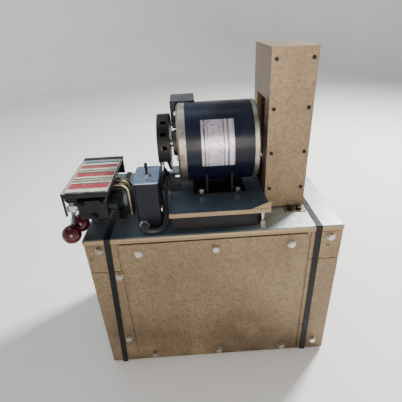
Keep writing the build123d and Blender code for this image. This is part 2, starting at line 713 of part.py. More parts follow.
def pump_housing():
    """The gear case between a rear cover and a flanged front cover."""
    bore_r = GEAR_TEETH * GEAR_MODULE / 2 + 0.8 * GEAR_MODULE + GEAR_CLEAR
    top = idler_z() + 28
    low = PUMP_Z - 30
    case = block(PUMP_X0, PUMP_X1, -38, 38, low, top)
    rear = block(PUMP_REAR_X, PUMP_X0, -38, 38, low, top)
    front = block(PUMP_X1, WELL_X0, -44, 44, low - 6, top + 6)
    front += rod_x(WELL_X0, WELL_X0 + WELL_T, 0, PUMP_Z, 18)
    for z in (PUMP_Z, idler_z()):
        case -= rod_x(PUMP_X0 - 1, PUMP_X1 + 1, 0, z, bore_r)
        rear -= rod_x(PUMP_REAR_X + 4, PUMP_X0 + 1, 0, z, SHAFT_R + RUN_FIT)
    case -= rod_y(-39, 39, (PUMP_X0 + PUMP_X1) / 2, PORT_Z, 6.5)
    front -= rod_x(PUMP_X1 - 1, WELL_X0 + WELL_T + 1, 0, PUMP_Z, SHAFT_R + RUN_FIT)
    front -= rod_x(PUMP_X1 - 1, PUMP_X1 + 10, 0, idler_z(), SHAFT_R + RUN_FIT)
    pieces = []
    for piece in (case, rear, front):
        for y, z in pump_bolt_places():
            piece -= rod_x(PUMP_REAR_X - 1, WELL_X0 - 3, y, z, BOLT_R + 0.1)
        pieces.append(piece)
    return pieces


def pump_bolt_places():
    return [(y, z) for y in (-PUMP_BOLT_Y, PUMP_BOLT_Y) for z in (PUMP_Z - 22, idler_z() + 20)]


def pump_bolts():
    bolts = []
    for y, z in pump_bolt_places():
        head = hex_x(PUMP_REAR_X - 5, PUMP_REAR_X, y, z, 12)
        bolts.append(head + rod_x(PUMP_REAR_X, WELL_X0 - 4, y, z, BOLT_R))
    return bolts


def pump_drive_gear():
    shaft = rod_x(PUMP_REAR_X + 5, BELT_X + 18, 0, PUMP_Z, SHAFT_R)
    return shaft + Pos(0, 0, PUMP_Z) * gear(0)


def pump_idler_gear():
    shaft = rod_x(PUMP_REAR_X + 5, PUMP_X1 + 9, 0, idler_z(), SHAFT_R)
    return shaft + Pos(0, 0, idler_z()) * gear(180 / GEAR_TEETH)


def round_tube(route, radii, outer, inner):
    """A hollow tube along straight runs joined by tangent arcs."""
    path = FilletPolyline(*route, radius=radii)
    heading = Vector(*route[1]) - Vector(*route[0])
    section = Plane(origin=route[0], z_dir=heading) * (Circle(outer) - Circle(inner))
    return sweep(section, path=path)


def suction_line():
    """The strainer stands on the pan; its tube rises to the pump's inlet."""
    x = (PUMP_X0 + PUMP_X1) / 2
    tube = round_tube(((x, -38, PORT_Z), (x, -74, PORT_Z), (x, -74, 70)), [20], 9, 6.5)
    can = turned_z(((0, PAN_Z + PLATE), (22, PAN_Z + PLATE), (22, 62), (12, 70), (0, 70)), x, -74)
    return [tube, can]


def valve_tubes():
    """The pressure tube from pump to valve bank, and the return tube to the tank."""
    x = (PUMP_X0 + PUMP_X1) / 2
    pressure = ((x, 38, PORT_Z), (x, 88, PORT_Z), (x, 88, 315), (TUBE_DOWN_X, PRESSURE_Y, 315),
                (TUBE_DOWN_X, PRESSURE_Y, TUBE_Z), (SECTION_X1, PRESSURE_Y, TUBE_Z))
    back = ((SECTION_X1, RETURN_Y, TUBE_Z), (TUBE_DOWN_X, RETURN_Y, TUBE_Z), (TUBE_DOWN_X, RETURN_Y, 50))
    return [round_tube(pressure, [20, 20, 20, 16], TUBE_R, TUBE_BORE_R),
            round_tube(back, [16], TUBE_R, TUBE_BORE_R)]


# Valve bank

def valve_bracket():
    """A bridge that straddles the left band."""
    y0 = -84
    y1 = -31
    top = SECTION_Z0
    bridge = block(-251, -191, y0, y1, top - 4, top)
    bridge += block(-251, -247, y0, y1, TANK_H, top)
    bridge += block(-195, -191, y0, y1, TANK_H, top)
    bridge += block(-251, -224, y0, y1, TANK_H, TANK_H + 4)
    bridge += block(-195, -180, y0, y1, TANK_H, TANK_H + 4)
    for y in (RETURN_Y, PRESSURE_Y):
        bridge -= rod_z(TANK_H - 1, TANK_H + 5, TUBE_DOWN_X, y, TUBE_R + 4)
    return bridge


def section_block(y0, y1):
    body = block(SECTION_X0, SECTION_X1, y0, y1, SECTION_Z0, SECTION_Z1)
    body = fillet(edges_along(body, Axis.Y), 3)
    for x, z in TIE_RODS:
        body -= rod_y(y0 - 1, y1 + 1, x, z, BOLT_R + 0.1)
    return body


def valve_sections():
    """Two spool sections with their spring caps, and the inlet section behind them."""
    pieces = []
    for i, y in enumerate(LEVER_Y):
        body = section_block(SECTION_Y[i], SECTION_Y[i + 1])
        body += rod_x(SECTION_X1 - 1, SECTION_X1 + 17, y, SPOOL_Z, 11)
        body -= rod_x(SECTION_X0 - 1, SECTION_X1 + 14, y, SPOOL_Z, SPOOL_R + RUN_FIT)
        for x in PORT_X:
            body -= rod_z(SECTION_Z0 - 1, SECTION_Z0 + WORK_PORT_DEPTH, x, y, WORK_PORT_R)
        pieces.append(body)
    inlet = section_block(SECTION_Y[2], SECTION_Y[3])
    for y in (PRESSURE_Y, RETURN_Y):
        inlet -= rod_x(SECTION_X1 - 14, SECTION_X1 + 1, y, TUBE_Z, TUBE_BORE_R)
    inlet -= rod_y(SECTION_Y[3] - 12, SECTION_Y[3] + 1, RELIEF_X, RELIEF_Z, 6.05)
    pieces.append(inlet)
    return pieces


def tie_rods():
    rods = []
    for x, z in TIE_RODS:
        rod = rod_y(SECTION_Y[0] - 8, SECTION_Y[3] + 8, x, z, BOLT_R)
        rod += hex_y(SECTION_Y[0] - 6, SECTION_Y[0], x, z, 12)
        rods.append(rod + hex_y(SECTION_Y[3], SECTION_Y[3] + 6, x, z, 12))
    return rods


def spool(y):
    """A spool with two grooves; its fork holds the pin that the lever moves."""
    x0 = SECTION_X0 - 8.5
    x1 = SECTION_X1 + 4
    stem = turned_x(((x0, 0), (x0, SPOOL_R), (-236, SPOOL_R), (-234, 4.5), (-228, 4.5),
                     (-226, SPOOL_R), (-214, SPOOL_R), (-212, 4.5), (-206, 4.5),
                     (-204, SPOOL_R), (x1, SPOOL_R), (x1, 0)), y, SPOOL_Z)
    fork = block(PIVOT_X - 7, x0, y - 9, y + 9, SPOOL_Z - 6, SPOOL_Z + 6)
    fork -= block(PIVOT_X - 8, PIVOT_X + 7, y - 4.5, y + 4.5, SPOOL_Z - 7, SPOOL_Z + 7)
    return stem + fork + rod_y(y - 6, y + 6, PIVOT_X, SPOOL_Z, 2.5)


def knob_place(i):
    return (KNOB_X[i], LEVER_Y[i] - KNOB_FORWARD, KNOB_Z)


def lever_rod(i):
    start = (PIVOT_X, LEVER_Y[i], SPOOL_Z - 12)
    return rod_between(start, knob_place(i), 3.6)


def lever(i):
    """A flat bar on the pivot pin, with a slot for the spool's pin and a bent rod."""
    y = LEVER_Y[i]
    bar = block(PIVOT_X - 5, PIVOT_X + 5, y - 3, y + 3, SPOOL_Z - 16, PIVOT_Z + 6)
    bar = fillet(edges_along(bar, Axis.Y), 3)
    bar -= rod_y(y - 4, y + 4, PIVOT_X, PIVOT_Z, 3 + RUN_FIT)
    slot = block(PIVOT_X - 2.9, PIVOT_X + 2.9, y - 4, y + 4, SPOOL_Z - 3.6, SPOOL_Z + 3.2)
    return bar - slot + lever_rod(i)


def knob(i):
    ball = Pos(*knob_place(i)) * Sphere(KNOB_R)
    return ball - lever_rod(i)


def lever_pivots():
    """Two ears and a pin for each lever, on the left faces of the spool sections."""
    pieces = []
    for y in LEVER_Y:
        ears = block(SECTION_X0 - 3, SECTION_X0, y - 14, y + 14, PIVOT_Z - 8, PIVOT_Z)
        for side in (-1, 1):
            middle = y + side * 7.5
            ears += block(PIVOT_X, SECTION_X0, middle - 2, middle + 2, PIVOT_Z - 7, PIVOT_Z + 7)
            ears += rod_y(middle - 2, middle + 2, PIVOT_X, PIVOT_Z, 7)
        ears -= block(SECTION_X0, SECTION_X0 + 1, y - 15, y + 15, PIVOT_Z - 9, PIVOT_Z + 9)
        pieces.append(ears + rod_y(y - 11, y + 11, PIVOT_X, PIVOT_Z, 3))
    return pieces


def valve_hood():
    """The folded cover over the bank, on four posts."""
    hood = block(HOOD_X0, HOOD_X1, HOOD_Y0, HOOD_Y1, HOOD_Z - 2.5, HOOD_Z)
    hood = fillet(edges_along(hood, Axis.Z), 3)
    hood += block(HOOD_X0 + 2, HOOD_X1 - 2, HOOD_Y0, HOOD_Y0 + 2, HOOD_Z - 8, HOOD_Z - 1)
    hood += block(HOOD_X0 + 2, HOOD_X1 - 2, HOOD_Y1 - 2, HOOD_Y1, HOOD_Z - 40, HOOD_Z - 1)
    hood += block(HOOD_X0, HOOD_X0 + 2, HOOD_Y0 + 3, HOOD_Y0 + 10, HOOD_Z - 47, HOOD_Z - 1)
    for x in (SECTION_X0 + 8, SECTION_X1 - 8):
        for y in (SECTION_Y[0] + 24, SECTION_Y[3] - 10):
            hood += rod_z(SECTION_Z1, HOOD_Z - 1, x, y, 5)
    return hood


def hood_label():
    label = block(HOOD_X0 + 2, HOOD_X1 - 2, HOOD_Y0 + 2, HOOD_Y1 - 20, HOOD_Z, HOOD_Z + 1.2)
    return fillet(edges_along(label, Axis.Z), 3)


def relief_valve():
    y0 = SECTION_Y[3]
    body = rod_y(y0 - 10, y0 + 20, RELIEF_X, RELIEF_Z, 6)
    body += hex_y(y0, y0 + 12, RELIEF_X, RELIEF_Z, 17)
    return body - rod_y(y0 + 10, y0 + 21, RELIEF_X, RELIEF_Z, 4.1)


def relief_adjuster():
    """The socket screw that sets the relief pressure."""
    y0 = SECTION_Y[3]
    screw = rod_y(y0 + 11, y0 + 26, RELIEF_X, RELIEF_Z, 4)
    screw += rod_y(y0 + 21, y0 + 30, RELIEF_X, RELIEF_Z, 9)
    return screw - hex_y(y0 + 25, y0 + 31, RELIEF_X, RELIEF_Z, 6)


# Switch box and motor cable

def switch_box():
    box = block(BOX_X0, BOX_X1, BOX_Y0, BOX_Y1, TANK_H, BOX_Z1)
    box = fillet(edges_along(box, Axis.Z), 6)
    hollow = block(BOX_X0 + 2.5, BOX_X1 - 2.5, BOX_Y0 + 2.5, BOX_Y1 - 2.5, TANK_H + 3, BOX_Z1 + 1)
    box -= fillet(edges_along(hollow, Axis.Z), 3.5)
    return box - rod_y(BOX_Y0 - 1, BOX_Y0 + 4, CABLE_ROUTE[-1][0], CABLE_ROUTE[-1][2], 6.3)


def switch_lid():
    lid = block(BOX_X0 - 1, BOX_X1 + 1, BOX_Y0 - 1, BOX_Y1 + 1, BOX_Z1, BOX_Z1 + 4)
    lid = fillet(edges_along(lid, Axis.Z), 7)
    lid = chamfer(lid.faces().sort_by(Axis.Z)[-1].edges(), 1.5)
    return lid - rod_z(BOX_Z1 - 1, BOX_Z1 + 5, TOGGLE_X, TOGGLE_Y, 6.1)


def switch_fittings():
    """The switch body with its bushing, lid screws, two glands and a knockout plug."""
    top = BOX_Z1 + 4
    bushing = rod_z(BOX_Z1 - 2, top + 5, TOGGLE_X, TOGGLE_Y, 6)
    bushing += hex_z(top, top + 2.5, TOGGLE_X, TOGGLE_Y, 16)
    bushing += block(TOGGLE_X - 10, TOGGLE_X + 10, TOGGLE_Y - 15, TOGGLE_Y + 15, BOX_Z1 - 26, BOX_Z1)
    bushing -= rod_z(TOGGLE_Z - 6, top + 6, TOGGLE_X, TOGGLE_Y, 4)
    pieces = [bushing]
    for y in (BOX_Y0 + 9, BOX_Y1 - 9):
        pieces.append(rod_z(top, top + 1.5, TOGGLE_X - 1, y, 3.5))
    end = CABLE_ROUTE[-1]
    gland = rod_y(BOX_Y0 - 4, BOX_Y0 + 6, end[0], end[2], 6.2)
    gland += hex_y(BOX_Y0 - 4, BOX_Y0, end[0], end[2], 18)
    pieces.append(gland - rod_y(BOX_Y0 - 4, BOX_Y0 + 7, end[0], end[2], CABLE_R - 0.5))
    start = CABLE_ROUTE[0]
    pieces.append(rod_x(start[0], -61, start[1], start[2], 7.5))
    pieces.append(rod_x(BOX_X1, BOX_X1 + 2, BOX_Y0 + 12, 396, 8))
    pieces.append(rod_y(BOX_Y1, BOX_Y1 + 12, TOGGLE_X, 385, 9))
    return pieces


def toggle_lever():
    lever_arm = turned_z(((0, TOGGLE_Z - 3.4), (3.4, TOGGLE_Z - 2), (3.4, TOGGLE_Z + 1),
                          (1.9, TOGGLE_Z + 3), (1.9, TOGGLE_Z + 5), (3.4, TOGGLE_Z + 21),
                          (2.4, TOGGLE_Z + 24), (0, TOGGLE_Z + 24.6)), TOGGLE_X, TOGGLE_Y)
    return lever_arm


def cable_radii():
    """Each bend is as large as its two runs allow."""
    points = [Vector(*p) for p in CABLE_ROUTE]
    radii = []
    for before, here, after in zip(points, points[1:], points[2:]):
        turn = (here - before).get_angle(after - here)
        shorter = min((here - before).length, (after - here).length)
        radii.append(0.45 * shorter / math.tan(math.radians(turn / 2)))
    return radii


def motor_cable():
    radii = cable_radii()
    print("cable bend radii:", [round(r, 1) for r in radii])
    path = FilletPolyline(*CABLE_ROUTE, radius=radii)
    heading = Vector(*CABLE_ROUTE[1]) - Vector(*CABLE_ROUTE[0])
    cable = sweep(Plane(origin=CABLE_ROUTE[0], z_dir=heading) * Circle(CABLE_R), path=path)
    print("cable length:", round(path.length, 1), "volume ratio:",
          round(cable.volume / (path.length * math.pi * CABLE_R ** 2), 4))
    return cable


def main():
    os.makedirs("parts", exist_ok=True)
    write("tank_shell", tank_shell())
    write("tank_deck", tank_deck())
    write("end_panels", *end_panels())
    write("front_cover", front_cover())
    write("cover_gasket", cover_gasket())
    write("panel_bolts", *panel_bolts())
    write("base_rails", *base_rails())
    write("drain_plug", drain_plug())
    write("breather_cap", breather_cap())
    write("right_strap", *right_strap())
    write("left_strap", *left_strap())
    write("belt_well", belt_well())
    write("baffle", baffle())
    write("motor_plate", motor_plate())
    write("plate_studs", *plate_studs())
    write("motor_shell", motor_shell())
    write("stator_core", stator_core())
    write("motor_windings", *motor_windings())
    write("rotor_core", rotor_core())
    write("motor_shaft", motor_shaft())
    write("left_end_bell", left_end_bell())
    write("right_end_bell", right_end_bell())
    write("motor_bearings", *motor_bearings())
    write("motor_cradle", *motor_cradle())
    write("motor_bolts", *motor_bolts())
    write("rating_plate", rating_plate())
    write("cooling_fan", cooling_fan())
    write("fan_shield", fan_shield())
    write("terminal_box", terminal_box())
    write("belt_guard", belt_guard())
    write("guard_front", guard_front())
    write("guard_screws", *guard_screws())
    write("motor_sheave", sheave(MOTOR_SHEAVE_R, AXIS_Z, BELT_X + 16))
    write("pump_sheave", sheave(PUMP_SHEAVE_R, PUMP_Z, BELT_X + 16))
    write("drive_belt", drive_belt())
    write("pump_housing", *pump_housing())
    write("pump_bolts", *pump_bolts())
    write("pump_drive_gear", pump_drive_gear())
    write("pump_idler_gear", pump_idler_gear())
    write("suction_line", *suction_line())
    write("valve_tubes", *valve_tubes())
    write("valve_bracket", valve_bracket())
    write("valve_sections", *valve_sections())
    write("tie_rods", *tie_rods())
    write("lever_pivots", *lever_pivots())
    for i, y in enumerate(LEVER_Y):
        write(f"spool_{i + 1}", spool(y))
        write(f"control_lever_{i + 1}", lever(i))
        write(f"lever_knob_{i + 1}", knob(i))
    write("valve_hood", valve_hood())
    write("hood_label", hood_label())
    write("relief_valve", relief_valve())
    write("relief_adjuster", relief_adjuster())
    write("switch_box", switch_box())
    write("switch_lid", switch_lid())
    write("switch_fittings", *switch_fittings())
    write("toggle_lever", toggle_lever())
    write("motor_cable", motor_cable())


if __name__ == "__main__":
    main()
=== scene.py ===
# %% [markdown]
# # A belt-driven hydraulic power unit
# The unit is a galvanised oil tank with a motor, a belt guard, a valve bank and a switch box
# on its deck. The solid model already holds every part at its real size and place, so this
# script loads it as a fixed frame and gives it surfaces, a few finer pieces, light and a camera.

# %% Load the frame
import math

import bmesh
import bpy
from mathutils import Matrix, Vector


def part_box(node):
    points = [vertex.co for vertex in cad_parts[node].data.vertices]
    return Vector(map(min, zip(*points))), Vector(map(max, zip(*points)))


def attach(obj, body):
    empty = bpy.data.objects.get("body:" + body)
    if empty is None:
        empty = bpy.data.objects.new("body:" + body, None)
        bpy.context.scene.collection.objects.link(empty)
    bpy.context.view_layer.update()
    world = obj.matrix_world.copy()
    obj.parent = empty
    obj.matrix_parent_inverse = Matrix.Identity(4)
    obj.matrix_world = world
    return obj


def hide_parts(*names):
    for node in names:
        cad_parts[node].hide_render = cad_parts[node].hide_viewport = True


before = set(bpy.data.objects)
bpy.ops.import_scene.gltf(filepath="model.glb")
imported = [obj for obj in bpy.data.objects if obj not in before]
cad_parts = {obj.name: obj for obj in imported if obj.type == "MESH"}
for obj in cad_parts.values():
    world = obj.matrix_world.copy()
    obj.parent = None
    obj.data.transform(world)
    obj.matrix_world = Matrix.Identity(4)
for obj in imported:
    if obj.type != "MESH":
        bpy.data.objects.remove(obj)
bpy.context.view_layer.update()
FRAME_BODY = "power_unit_frame"

# %% [markdown]
# ## The camera
# The unit is seen from a little above a seated person's eyes, almost square to its front.
# The camera leans slightly, as a hand-held one does, so its axes are worked out from three
# angles and put in its matrix as columns: right, up, and backwards.

# %% Camera
CAMERA_PLACE = Vector((-0.0325, -0.6929, 0.7294))
CAMERA_YAW = math.radians(1.09)
CAMERA_PITCH = math.radians(29.03)
CAMERA_ROLL = math.radians(3.03)
CAMERA_LENS = 30.13


def camera_axes(yaw, pitch, roll):
    forward = Vector((math.sin(yaw) * math.cos(pitch), math.cos(yaw) * math.cos(pitch), -math.sin(pitch)))
    level = Vector((math.cos(yaw), -math.sin(yaw), 0))
    down = forward.cross(level)
    right = math.cos(roll) * level + math.sin(roll) * down
    up = math.sin(roll) * level - math.cos(roll) * down
    return right, up, -forward


camera = bpy.data.objects.new("camera", bpy.data.cameras.new("camera"))
bpy.context.scene.collection.objects.link(camera)
camera.data.lens = CAMERA_LENS
turn = Matrix(camera_axes(CAMERA_YAW, CAMERA_PITCH, CAMERA_ROLL)).transposed()
camera.matrix_world = Matrix.Translation(CAMERA_PLACE) @ turn.to_4x4()
bpy.context.scene.camera = camera
print("camera at", tuple(round(v, 3) for v in CAMERA_PLACE))

# %% [markdown]
# ## Helpers for materials
# Every finish is a node tree that reads Object coordinates, so a pattern keeps its real scale
# in metres and stays on the piece in every view. These helpers keep each tree short to read.

# %% Material helpers


def new_material(name, metallic, roughness):
    """A material, its tree, and its main shader with two plain settings."""
    made = bpy.data.materials.new(name)
    made.use_nodes = True
    shader = made.node_tree.nodes["Principled BSDF"]
    shader.inputs["Metallic"].default_value = metallic
    shader.inputs["Roughness"].default_value = roughness
    return made, made.node_tree, shader


def shade_of(colour, factor):
    """The same colour, darker or lighter by a factor."""
    return tuple(v * factor for v in colour)


# %% Pattern helpers
def place(tree, stretch=(1, 1, 1)):
    """Object coordinates in metres, stretched by a factor on each axis."""
    coordinate = tree.nodes.new("ShaderNodeTexCoord")
    mapping = tree.nodes.new("ShaderNodeMapping")
    mapping.inputs["Scale"].default_value = stretch
    tree.links.new(coordinate.outputs["Object"], mapping.inputs["Vector"])
    return mapping.outputs["Vector"]


def noise(tree, scale, detail=4.0, stretch=(1, 1, 1)):
    node = tree.nodes.new("ShaderNodeTexNoise")
    node.inputs["Scale"].default_value = scale
    node.inputs["Detail"].default_value = detail
    tree.links.new(place(tree, stretch), node.inputs["Vector"])
    return node.outputs["Fac"]


def cells(tree, scale):
    """A different grey in each cell, as in the frost flowers of hot-dip zinc."""
    node = tree.nodes.new("ShaderNodeTexVoronoi")
    node.inputs["Scale"].default_value = scale
    tree.links.new(place(tree), node.inputs["Vector"])
    grey = tree.nodes.new("ShaderNodeRGBToBW")
    tree.links.new(node.outputs["Color"], grey.inputs["Color"])
    return grey.outputs["Val"]


def axis_value(tree, axis):
    split = tree.nodes.new("ShaderNodeSeparateXYZ")
    tree.links.new(place(tree), split.inputs["Vector"])
    return split.outputs[axis]


def facing(tree, axis):
    """How far the surface faces along an axis of the unit."""
    geometry = tree.nodes.new("ShaderNodeNewGeometry")
    split = tree.nodes.new("ShaderNodeSeparateXYZ")
    tree.links.new(geometry.outputs["Normal"], split.inputs["Vector"])
    return split.outputs[axis]


# %% Number and colour helpers
def remap(tree, value, low, high, out_low=0.0, out_high=1.0):
    """A value's range stretched on to another range."""
    node = tree.nodes.new("ShaderNodeMapRange")
    for socket, number in zip(node.inputs[1:5], (low, high, out_low, out_high)):
        socket.default_value = number
    tree.links.new(value, node.inputs["Value"])
    return node.outputs["Result"]


def combine(tree, operation, first, second):
    """Arithmetic on two values, each a socket or a plain number."""
    node = tree.nodes.new("ShaderNodeMath")
    node.operation = operation
    for socket, value in zip(node.inputs, (first, second)):
        if isinstance(value, (int, float)):
            socket.default_value = value
        else:
            tree.links.new(value, socket)
    return node.outputs["Value"]


def ramp(tree, value, stops, stepped=False):
    """A colour for each value, from (position, (r, g, b)) stops."""
    node = tree.nodes.new("ShaderNodeValToRGB")
    elements = node.color_ramp.elements
    while len(elements) < len(stops):
        elements.new(1.0)
    for element, (position, colour) in zip(elements, stops):
        element.position = position
        element.color = (*colour, 1)
    if stepped:
        node.color_ramp.interpolation = "CONSTANT"
    tree.links.new(value, node.inputs["Fac"])
    return node.outputs["Color"]


def blend_colours(tree, factor, first, second, mode="MIX"):
    node = tree.nodes.new("ShaderNodeMix")
    node.data_type = "RGBA"
    node.blend_type = mode
    if isinstance(factor, (int, float)):
        node.inputs["Factor"].default_value = factor
    else:
        tree.links.new(factor, node.inputs["Factor"])
    for socket, value in ((node.inputs[6], first), (node.inputs[7], second)):
        if isinstance(value, tuple):
            socket.default_value = (*value, 1)
        else:
            tree.links.new(value, socket)
    return node.outputs[2]


# %% Surface helpers
def relief(tree, shader, height, depth):
    """Bump in the surface, with its depth in metres."""
    node = tree.nodes.new("ShaderNodeBump")
    node.inputs["Distance"].default_value = depth
    tree.links.new(height, node.inputs["Height"])
    tree.links.new(node.outputs["Normal"], shader.inputs["Normal"])


def wear(tree, shader, colour, roughness):
    """Links a colour and a roughness pattern to the shader."""
    tree.links.new(colour, shader.inputs["Base Color"])
    tree.links.new(roughness, shader.inputs["Roughness"])


def dress(names, finish):
    """Gives solid-model nodes a finish on their own material slots."""
    for name in names:
        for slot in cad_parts[name].material_slots:
            slot.material = finish
    print(finish.name, "on", ", ".join(names))


# %% [markdown]
# ## Galvanised sheet
# Hot-dip zinc freezes into flat crystals, each of which reflects light differently. A Voronoi
# pattern gives one grey to each crystal, and a coarse and a fine one are mixed. Age adds a
# brown film, dark specks and water runs that are long in Z, and the sheet darkens towards
# the floor. The crystal colours hold painted light: the tank's brown crystals are a painted
# reflection of the ground under its film, the deck's pale blue is painted sunlight and sky,
# and the motor plate's dark blue is painted shade. Faces towards the front take a painted tan
# reflection. The deck has less film, and a painted dark blue shade over its left part, round
# the valve bank.

# %% Galvanised sheet
COARSE_CRYSTALS = 230
FINE_CRYSTALS = 640
FINE_SHARE = 0.45
RUN_STRETCH = (1, 1, 0.08)
BRUSH_STRETCH = (1, 1, 0.03)
DARKEN_HEIGHT = 0.16
SHADE_EDGE = 0.15
SHADE_FULL = 0.04


def blend_grey(tree, first, second, share):
    """Two greys in one, with a share of the second."""
    whole = combine(tree, "MULTIPLY", first, 1 - share)
    part = combine(tree, "MULTIPLY", second, share)
    return combine(tree, "ADD", whole, part)


def galvanised(name, dark, light, film, film_amount, front=None, left_shade=None):
    made, tree, shader = new_material(name, 0.6, 0.5)
    crystals = blend_grey(tree, cells(tree, COARSE_CRYSTALS), cells(tree, FINE_CRYSTALS), FINE_SHARE)
    zinc = ramp(tree, crystals, ((0.15, dark), (0.85, light)))
    clouds = remap(tree, noise(tree, 7, 6), 0.35, 0.7, 0.0, film_amount)
    colour = blend_colours(tree, clouds, zinc, film)
    runs = remap(tree, noise(tree, 30, 5, RUN_STRETCH), 0.55, 0.8, 0.0, 0.35)
    colour = blend_colours(tree, runs, colour, shade_of(film, 0.55))
    brushing = remap(tree, noise(tree, 420, 3, BRUSH_STRETCH), 0.35, 0.7, 0.0, 0.3)
    colour = blend_colours(tree, brushing, colour, shade_of(film, 1.6))
    specks = remap(tree, noise(tree, 210, 3), 0.66, 0.72, 0.0, 0.75)
    colour = blend_colours(tree, specks, colour, shade_of(film, 0.25))
    # The sheet darkens towards the floor, in patches.
    darkening = combine(tree, "MULTIPLY", remap(tree, axis_value(tree, "Z"), DARKEN_HEIGHT, 0.0, 0.0, 0.8),
                    remap(tree, noise(tree, 14, 6), 0.35, 0.65))
    colour = blend_colours(tree, darkening, colour, shade_of(film, 0.3))
    # Painted shade: the deck turns dark blue towards its left, in the shadow round the valve bank, with a
    # ragged edge.
    if left_shade is not None:
        ragged = remap(tree, noise(tree, 9, 5), 0, 1, -0.05, 0.05)
        edge = combine(tree, "ADD", axis_value(tree, "X"), ragged)
        colour = blend_colours(tree, remap(tree, edge, SHADE_EDGE, SHADE_FULL, 0.0, 0.88), colour, left_shade)
    # Painted reflection: faces towards the front take the tan of the brown ground.
    if front is not None:
        towards_front = remap(tree, facing(tree, "Y"), -0.5, -0.9)
        colour = blend_colours(tree, towards_front, colour, front)
    rough = remap(tree, crystals, 0.0, 1.0, 0.3, 0.58)
    wear(tree, shader, colour, rough)
    relief(tree, shader, combine(tree, "ADD", crystals, noise(tree, 400, 2)), 0.00012)
    return made


# %% Three zinc finishes, each with painted light
# Painted reflection: the tan that faces towards the front take from the brown ground.
FRONT_REFLECTION = (0.28, 0.205, 0.12)
# The tank: its brown crystals are a painted reflection of the ground; the film, runs and specks are its
# aging.
tank_zinc = galvanised("aged_tank_zinc_and_ground_reflection", (0.14, 0.1, 0.06), (0.345, 0.257, 0.16),
                       (0.125, 0.085, 0.046), 0.5)
# The deck: its pale blue crystals are painted sunlight and a painted sky reflection, with painted shade on
# the left.
deck_zinc = galvanised("deck_zinc_painted_sun_and_shade", (0.38, 0.44, 0.46), (0.62, 0.69, 0.68),
                       (0.24, 0.28, 0.28), 0.45, FRONT_REFLECTION, (0.035, 0.065, 0.09))
# The motor plate: its dark blue crystals are the painted shade of the motor, lit by the sky.
plate_zinc = galvanised("motor_plate_zinc_painted_shade", (0.045, 0.075, 0.11), (0.12, 0.18, 0.24),
                        (0.06, 0.07, 0.08), 0.5, FRONT_REFLECTION)
dress(["tank_shell", "end_panels", "front_cover", "belt_guard", "guard_front", "baffle", "belt_well",
       "base_rails"], tank_zinc)
dress(["tank_deck"], deck_zinc)
dress(["motor_plate"], plate_zinc)

# %% [markdown]
# ## Motor enamel, black paint and iron
# The motor is sprayed with a thick navy-black enamel. It is glossy with a slight orange
# peel, and where the surface looks up it turns pale blue, partly dust and partly a painted
# sheen of the sky. The brackets, fan and boxes have a thinner black paint that has worn
# through in places to grey steel.

# %% Painted metal


def enamel(name, paint, dust_and_sky_sheen, peel, gloss):
    made, tree, shader = new_material(name, 0.0, gloss)
    shader.inputs["Coat Weight"].default_value = 0.08
    shader.inputs["Coat Roughness"].default_value = 0.12
    # Upward faces turn pale blue, partly dust and partly a painted sheen of the sky.
    upward = remap(tree, facing(tree, "Z"), 0.1, 1.0, 0.0, 0.22)
    dust_and_sheen_mask = combine(tree, "MULTIPLY", upward, remap(tree, noise(tree, 18, 6), 0.3, 0.75))
    shader.inputs["Specular IOR Level"].default_value = 0.22
    thin = shade_of(paint, 0.7)
    thick = shade_of(paint, 1.5)
    mottled = ramp(tree, noise(tree, 9, 5), ((0.3, thin), (0.75, thick)))
    colour = blend_colours(tree, dust_and_sheen_mask, mottled, dust_and_sky_sheen)
    wear(tree, shader, colour, remap(tree, noise(tree, 26, 4), 0.3, 0.75, gloss * 0.8, gloss * 1.5))
    relief(tree, shader, noise(tree, peel, 2), 0.00008)
    return made


def worn_paint(name, paint, bare, amount):
    made, tree, shader = new_material(name, 0.0, 0.5)
    shader.inputs["Specular IOR Level"].default_value = 0.25
    chips = remap(tree, noise(tree, 120, 6), 0.72 - amount, 0.78 - amount * 0.5, 0.0, 0.8)
    thin = shade_of(paint, 0.6)
    thick = shade_of(paint, 1.6)
    film = ramp(tree, noise(tree, 22, 5), ((0.3, thin), (0.7, thick)))
    rough = remap(tree, noise(tree, 40, 4), 0.3, 0.7, 0.3, 0.58)
    wear(tree, shader, blend_colours(tree, chips, film, bare), rough)
    relief(tree, shader, noise(tree, 300, 3), 0.0001)
    return made


# %% Paint colours
motor_enamel = enamel("navy_motor_enamel", (0.004, 0.006, 0.016), (0.03, 0.045, 0.07), 520, 0.3)
box_paint = enamel("switch_box_enamel", (0.005, 0.006, 0.012), (0.05, 0.06, 0.08), 420, 0.4)
black_paint = worn_paint("worn_black_paint", (0.006, 0.006, 0.008), (0.13, 0.12, 0.1), 0.02)
band_paint = worn_paint("japanned_band", (0.004, 0.004, 0.005), (0.07, 0.06, 0.05), 0.02)
oiled_iron = worn_paint("oiled_valve_iron", (0.004, 0.0045, 0.006), (0.1, 0.08, 0.06), 0.03)
dress(["motor_shell", "terminal_box"], motor_enamel)
dress(["switch_box"], box_paint)
dress(["cooling_fan", "valve_bracket", "valve_hood", "guard_screws", "toggle_lever"], black_paint)
# Painted shade: the black apron that motor_cradle holds under the motor plate stands in for the shade in
# the gap beneath the plate.
dress(["left_strap", "right_strap", "motor_cradle", "fan_shield"], band_paint)
dress(["valve_sections", "lever_pivots"], oiled_iron)

# %% [markdown]
# ## Bare metals
# Castings, plated bolts, ground shafts, copper and yellow-passivated tube all differ in
# colour, in how fine their grain is, and in which way it runs. One recipe with named
# settings covers them: a base colour, a tarnish in clouds, and a grain stretched on one axis.

# %% Bare metals


